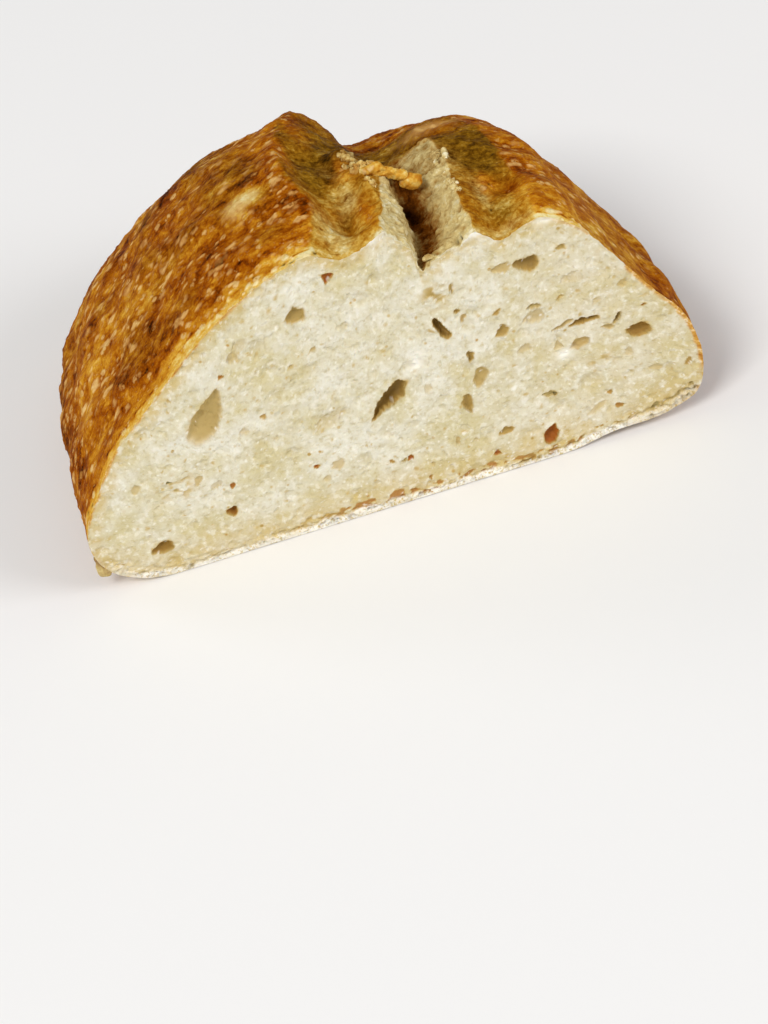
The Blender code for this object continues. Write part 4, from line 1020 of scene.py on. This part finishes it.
def wheat_crumb():
    """Crumb of white wheat bread, cut with a toothed knife: moist baked dough foam, soft and slightly
    see-through, with fine cells darkened by painted shade, faint painted glints on their walls, and a
    yellower edge along the crust."""
    material, tree = new_material("cut_wheat_crumb")
    place = add(tree, "TexCoord").outputs["Object"]
    read = {label: add(tree, "Attribute", {"attribute_name": label}).outputs["Fac"]
            for label in ("cell", "brown", "warmth", "near_crust", "low", "crust", "flour", "bright")}
    clouds = add(tree, "TexNoise", Vector=place, Scale=1 / (CRUMB_CLOUD * MM), Detail=5.0, Roughness=0.65)
    tangle = add(tree, "TexNoise", Vector=place, Scale=1 / (CRUMB_TANGLE * MM), Detail=3.0, Roughness=0.6)
    grain = add(tree, "TexNoise", Vector=place, Scale=1 / (CRUMB_GRAIN * MM), Detail=3.0, Roughness=0.6)
    dots = []
    for spacing, size, rarest in ((PAINTED_GLINT_SPACING, 0.24, 0.72), (DOT_SPACING, 0.20, 0.58)):
        speck = add(tree, "TexVoronoi", Vector=place, Scale=1 / (spacing * MM))
        dot = add(tree, "MapRange", Value=speck, From_Min=size, From_Max=0.5 * size)
        kept = add(tree, "MapRange", Value=speck.outputs["Color"], From_Min=rarest, From_Max=rarest + 0.12)
        dots.append(add(tree, "Math", "MULTIPLY", n0=dot, n1=kept))
    painted_glint_dots, tan_dots = dots

    # Painted shade in the cells and pores, with the crumb's own marks; then the warmer edge, with painted shade
    # towards the right; then the pores' ochre and their own stain
    marks = add(tree, "MapRange", Value=tangle, From_Min=0.55, From_Max=0.70)
    marks = add(tree, "Math", "MULTIPLY", n0=marks, n1=0.6)
    marks_and_painted_shade = add(tree, "Math", "MAXIMUM", n0=marks, n1=read["cell"])
    warm = add(tree, "Math", "MAXIMUM", n0=read["near_crust"], n1=read["low"])
    warm = add(tree, "Math", "MULTIPLY", n0=warm, n1=0.66)
    tan_dots = add(tree, "Math", "MULTIPLY", n0=tan_dots, n1=0.55)
    brown = add(tree, "Math", "MAXIMUM", n0=tan_dots, n1=read["brown"])
    ochre = add(tree, "MapRange", Value=brown, From_Min=0.0, From_Max=0.5)
    stained = add(tree, "MapRange", Value=brown, From_Min=0.3, From_Max=0.95)
    stain = add(tree, "ValToRGB", {"stops": (
        (0.1, "84825C"), (0.5, "94702A"), (0.75, "A4601A"), (1.0, "9A4C0C"))}, Fac=read["warmth"])
    baked = add(tree, "ValToRGB", {"stops": ((0.35, "E0B04A"), (0.7, "A8661C"))}, Fac=tangle)

    # White: painted glints and threads where nothing is stained, torn places painted bright as highlight, and
    # flour
    unstained = add(tree, "MapRange", Value=read["brown"], From_Min=0.25, From_Max=0.05)
    painted_glint_dots = add(tree, "Math", "MULTIPLY", n0=painted_glint_dots, n1=unstained)
    painted_glint_dots = add(tree, "Math", "MULTIPLY", n0=painted_glint_dots, n1=0.6)
    threads = add(tree, "MapRange", Value=tangle, From_Min=0.47, From_Max=0.36, To_Max=0.42)
    threads = add(tree, "Math", "MULTIPLY", n0=threads, n1=unstained)
    white = add(tree, "Math", "MAXIMUM", n0=painted_glint_dots, n1=read["bright"])
    white = add(tree, "Math", "MAXIMUM", n0=white, n1=threads)
    patchy = add(tree, "MapRange", Value=grain, From_Min=0.64, From_Max=0.50)
    patchy = add(tree, "Math", "MULTIPLY", n0=patchy, n1=read["flour"])

    cream = add(tree, "ValToRGB", {"stops": ((0.36, "E0DBC8"), (0.5, "D7CFB3"), (0.64, "CEC297"))},
                Fac=clouds)
    colour = add(tree, "Mix", {"data_type": "RGBA"}, Factor=marks_and_painted_shade, n6=cream, n7=linear("B8A670"))
    for share, over in ((warm, linear("C6A858")), (ochre, linear("C0A25C")), (stained, stain),
                        (read["crust"], baked), (white, linear("F2EEE0")), (patchy, linear("F4EFE2"))):
        colour = add(tree, "Mix", {"data_type": "RGBA"}, Factor=share, n6=colour.outputs[2], n7=over)
    height = add(tree, "Math", "MULTIPLY_ADD", n0=grain, n1=0.8, n2=painted_glint_dots)
    height = add(tree, "Math", "MULTIPLY_ADD", n0=tangle, n1=-1.0, n2=height)
    bump = add(tree, "Bump", Strength=0.4, Distance=CRUMB_BUMP * MM, Height=height)
    surface = add(tree, "BsdfPrincipled", Base_Color=colour.outputs[2], Roughness=0.6, Normal=bump,
                  IOR=1.42, Specular_IOR_Level=0.35, Subsurface_Weight=0.15,
                  Subsurface_Radius=(1.0, 0.75, 0.45), Subsurface_Scale=LIGHT_REACH * MM)
    add(tree, "OutputMaterial", Surface=surface)
    return material


# ---------------------------------------------------------------- stage

CAMERA_DISTANCE = 600.0                  # from the point of the cut's lower edge that it looks at
LOOKED_AT = (-5.25, CUT_Y, 0.0)
LOOK_DOWN = 40.0                         # degrees under level
LOOK_ASIDE = 6.0                         # degrees to the left of the cut's normal
ROLL = 13.33
PIXELS_PER_MM = 5.33                     # at that distance, in a picture of 768 x 1024 pixels
PICTURE = (768, 1024)
LOOKED_AT_PIXEL = (384, 510)
SENSOR = 36.0


def place_camera():
    """Camera at the photograph's angle. Its axes come from the angles, and its place from the pixel at which
    the looked-at point falls."""
    aside, down, roll = np.radians((LOOK_ASIDE, LOOK_DOWN, ROLL))
    ahead = np.array((np.sin(aside) * np.cos(down), np.cos(aside) * np.cos(down), -np.sin(down)))
    level = np.array((np.cos(aside), -np.sin(aside), 0.0))
    upright = np.cross(level, ahead)
    right = np.cos(roll) * level - np.sin(roll) * upright
    up = np.sin(roll) * level + np.cos(roll) * upright
    focal = PIXELS_PER_MM * CAMERA_DISTANCE
    across = (LOOKED_AT_PIXEL[0] - PICTURE[0] / 2) / focal
    upwards = (PICTURE[1] / 2 - LOOKED_AT_PIXEL[1]) / focal
    spot = (np.array(LOOKED_AT) - CAMERA_DISTANCE * (ahead + across * right + upwards * up)) * MM
    data = bpy.data.cameras.new("camera")
    data.sensor_width = SENSOR
    data.lens = focal / max(PICTURE) * SENSOR
    data.clip_start = 0.01
    camera = bpy.data.objects.new("camera", data)
    camera.matrix_world = Matrix([[right[i], up[i], -ahead[i], spot[i]] for i in range(3)] + [[0, 0, 0, 1]])
    bpy.context.scene.collection.objects.link(camera)
    bpy.context.scene.camera = camera


def soft_light(name, place, size, power, colour):
    """A square lamp at a place in metres, turned to the loaf."""
    data = bpy.data.lights.new(name, "AREA")
    data.size = size
    data.energy = power
    data.color = linear(colour)[:3]
    lamp = bpy.data.objects.new(name, data)
    back = np.array(place) / np.linalg.norm(place)
    side = np.cross((0.0, 0.0, 1.0), back)
    side /= np.linalg.norm(side)
    up = np.cross(back, side)
    lamp.matrix_world = Matrix([[side[i], up[i], back[i], place[i]] for i in range(3)] + [[0, 0, 0, 1]])
    bpy.context.scene.collection.objects.link(lamp)


def studio():
    """Plain pale floor and soft light: a broad lamp from the upper left, a weaker one from the right and
    an even pale surround."""
    mesh = bpy.data.meshes.new("floor")
    reach = 6.0
    mesh.from_pydata([(-reach, -reach, 0), (reach, -reach, 0), (reach, reach, 0), (-reach, reach, 0)], [],
                     [(0, 1, 2, 3)])
    floor = bpy.data.objects.new("floor", mesh)
    bpy.context.scene.collection.objects.link(floor)
    material, tree = new_material("pale_floor")
    surface = add(tree, "BsdfPrincipled", Base_Color=linear("EDECEA"), Roughness=0.9)
    add(tree, "OutputMaterial", Surface=surface)
    mesh.materials.append(material)
    world = bpy.data.worlds.new("surround")
    world.use_nodes = True
    world.node_tree.nodes["Background"].inputs["Color"].default_value = linear("F6F7FA")
    world.node_tree.nodes["Background"].inputs["Strength"].default_value = 0.40
    bpy.context.scene.world = world
    soft_light("key", (-1.35, -1.55, 2.20), 1.1, 53.0, "FFFEFC")
    soft_light("rear", (-1.80, 1.70, 1.50), 1.0, 10.0, "FFFFFF")
    soft_light("fill", (2.20, -1.40, 1.50), 1.4, 38.0, "FCFCFF")
    bpy.context.scene.view_settings.view_transform = "Standard"


# ---------------------------------------------------------------- putting it together

def chart_of(skin):
    """Flat chart of the skin: distance round the loaf, narrowing to the far end, by distance along it."""
    middle = RUN[-2] / 2
    across = (skin.run - middle) * (0.05 + 0.95 * skin.width)
    along = travelled(skin.p[:, skin.columns // 3])[:, None] + np.zeros(skin.run.shape)
    return np.stack((across, along), axis=-1)


def close_ends(points):
    """Closes a tube of rings: each end ring becomes one point, and the last column meets the first. Gives
    the points and the grid of their numbers."""
    points[0], points[-1] = points[0, 0], points[-1, 0]
    index = np.arange(points.shape[0] * points.shape[1]).reshape(points.shape[:2])
    index[0], index[-1] = index[0, 0], index[-1, 0]
    return points, np.hstack((index, index[:, :1]))


def lump(middle, half_sizes, salt, ragged, turns=40, rings=26):
    """Ragged closed lump: an ellipsoid on rings of latitude, its radius 1 + ragged times noise; the poles
    are one point each. Gives its points and its grid of point numbers."""
    up = np.linspace(0.0, np.pi, rings + 1)[:, None]
    round_it = np.linspace(0.0, 2 * np.pi, turns, endpoint=False)
    unit = np.stack((np.sin(up) * np.cos(round_it), np.sin(up) * np.sin(round_it),
                     np.cos(up) + 0 * round_it), axis=-1)
    middle, half_sizes = np.array(middle), np.array(half_sizes)
    spread = unit * half_sizes
    bumpy = soft_noise(spread + middle, 1.3 * half_sizes.mean(), salt, layers=4)
    points, index = close_ends(middle + spread * (1 + ragged * bumpy)[..., None])
    return points, index[::-1]


def strand(path, radii, salt, ragged, turns=40, steps=110):
    """Ragged closed strand: circles carried along a path, their radius eased between the given ones and
    times 1 + ragged times noise; both ends shrink to one point."""
    path, radii = np.array(path), np.array(radii)
    along = np.linspace(0.0, len(path) - 1.0, steps + 1)
    k = np.minimum(along.astype(int), len(path) - 2)
    u = (along - k)[:, None]
    tangents = np.gradient(path, axis=0)
    centre = cubic(u, path[k], path[k + 1], tangents[k], tangents[k + 1])
    ahead = np.gradient(centre, axis=0)
    ahead /= np.linalg.norm(ahead, axis=-1, keepdims=True)
    side = np.cross(ahead, (0.0, 0.0, 1.0))
    side /= np.linalg.norm(side, axis=-1, keepdims=True)
    up = np.cross(side, ahead)
    round_it = np.linspace(0.0, 2 * np.pi, turns, endpoint=False)
    ring = np.cos(round_it)[None, :, None] * side[:, None] + np.sin(round_it)[None, :, None] * up[:, None]
    end = np.sqrt(np.clip(1 - (2 * along / along[-1] - 1)**8, 0.0, 1.0))
    radius = (np.interp(along, np.arange(len(radii)), radii) * end)[:, None, None]
    bumpy = soft_noise(centre[:, None] + ring * radius, 2.0, salt, layers=4)[..., None]
    return close_ends(centre[:, None] + ring * radius * (1 + ragged * bumpy))


def torn_piece(name, shapes, finishes, material):
    """Several closed shapes as one mesh, each with its own numbers for the finish, spread by noise."""
    points, triangles, charts, count = [], [], [], 0
    values = {label: [] for label in finishes[0]}
    for number, ((shape, index), finish) in enumerate(zip(shapes, finishes)):
        flat = np.clip(shape.reshape(-1, 3), (LOW.x / MM, 0.0, 0.0), (HIGH.x / MM, LENGTH, HIGH.z / MM))
        points.append(flat)
        triangles.append(triangles_of(index) + count)
        count += len(flat)
        rows, columns = shape.shape[:2]
        u, v = np.meshgrid(np.arange(columns) / columns, np.arange(rows) / rows)
        charts.append(np.stack((u + 1.1 * number, v), axis=-1).reshape(-1, 2))
        mottle = soft_noise(flat, 0.8, 700 + number, layers=2)
        for label, value in finish.items():
            values[label].append(np.clip(value + (0.30 * mottle if label == "bake" else 0.0), 0, 1)
                                 + np.zeros(len(flat)))
    values = {label: np.concatenate(value) for label, value in values.items()}
    points = np.concatenate(points)
    values["grain"] = points[:, None, :] * (0.5, 1.0, 1.0)
    return make_piece(name, points, None, np.concatenate(triangles), values, np.concatenate(charts), material)


def finish(bake, blister=0.0, torn=0.0, olive=0.0, flour=0.0, charred=0.0):
    """The numbers that the crust's finish reads, for a small piece."""
    return dict(bake=bake, blister=blister, torn=torn, olive=olive, flour=flour, charred=charred)


def resting_height(skin, x, depth):
    """Height of the score's skin at a place, taken from the nearest point of its grid."""
    part = skin.p[:, skin.score].reshape(-1, 3)
    return part[np.argmin((part[:, 0] - x)**2 + (part[:, 1] - depth)**2), 2]


def torn_bits(skin, material):
    """Shreds and crumbs left by the tear: a strand that crosses it and ends in a golden knob, crumbs behind
    it, a curl of dough at the cut and a flake at the loaf's lower left corner."""
    bridge = strand(STRAND_PATH, STRAND_RADII, 801, 0.9)
    knob = lump((15.9, 22.6, 54.0), (2.0, 1.7, 1.8), 811, 0.5)
    torn_piece("torn_strand", (bridge, knob), (finish(0.34, torn=0.1), finish(0.36, torn=0.1)), material)
    shapes, finishes = [], []
    chance = np.random.default_rng(5)
    for x, depth, spread_x, spread_depth, count, (bake, torn, olive) in CRUMB_CLUSTERS:
        for _ in range(count):
            at_x = x + spread_x * chance.uniform(-1.0, 1.0)
            at_depth = depth + spread_depth * chance.uniform(-1.0, 1.0)
            half_sizes = chance.uniform(0.25, 0.75) * chance.uniform(0.6, 1.2, 3)
            at = (at_x, at_depth, resting_height(skin, at_x, at_depth))
            shapes.append(lump(at, half_sizes, 820 + len(shapes), 1.3, turns=20, rings=13))
            finishes.append(finish(bake + chance.uniform(-0.08, 0.08), torn=torn, olive=olive))
    shapes.append(lump((13.2, 0.9, 52.3), (0.9, 0.4, 0.6), 819, 1.3))
    finishes.append(finish(0.30, torn=1.0))
    torn_piece("torn_crumbs", shapes, finishes, material)
    flake = lump((-58.2, 1.3, 6.6), (1.5, 1.0, 2.9), 850, 0.7)
    torn_piece("corner_flake", (flake,), (finish(0.34, torn=0.5, olive=1.0, flour=0.15),), material)


def build_loaf():
    """All pieces of the loaf."""
    skin = plain_skin()
    for step in (mark_zones, raise_blisters, roughen, brown):
        step(skin)
    skin.p = fit_in_box(skin.p)
    skin.p[0, :, 1] = 0.0
    skin.p[..., 2] = np.maximum(skin.p[..., 2], 0.0)
    normals = outward_normals(skin.p)
    normals[-1] = (0.0, 1.0, 0.0)
    chart = chart_of(skin)
    index = np.arange(skin.rows * skin.columns).reshape(skin.rows, skin.columns)
    index[-1] = index[-1, 0]
    ear, lobe = (skin.score.start + int(np.argmin(np.abs(skin.place[skin.score] - LINE[name])))
                 for name in ("ear", "lobe"))
    crust = baked_crust()
    parts = {
        "left_crust": index[:, :ear + 1],
        "bloom": index[:, ear:lobe + 1],
        "right_crust": index[:, lobe:skin.base_start + 1],
        "base_crust": np.hstack((index[::BASE_ROW_STEP, skin.base_start:], index[::BASE_ROW_STEP, :1])),
    }
    for name, part in parts.items():
        flat = skin.p[..., :2] if name == "base_crust" else chart
        make_piece(name, skin.p, normals, triangles_of(part), skin.values, flat, crust)
    points, normals, index, crumb_values = crumb_grid(skin)
    crumb = make_piece("crumb", points, normals, triangles_of(index), crumb_values,
                       points[..., (0, 2)], wheat_crumb())
    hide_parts("half_loaf")
    torn_bits(skin, crust)


build_loaf()
studio()
place_camera()
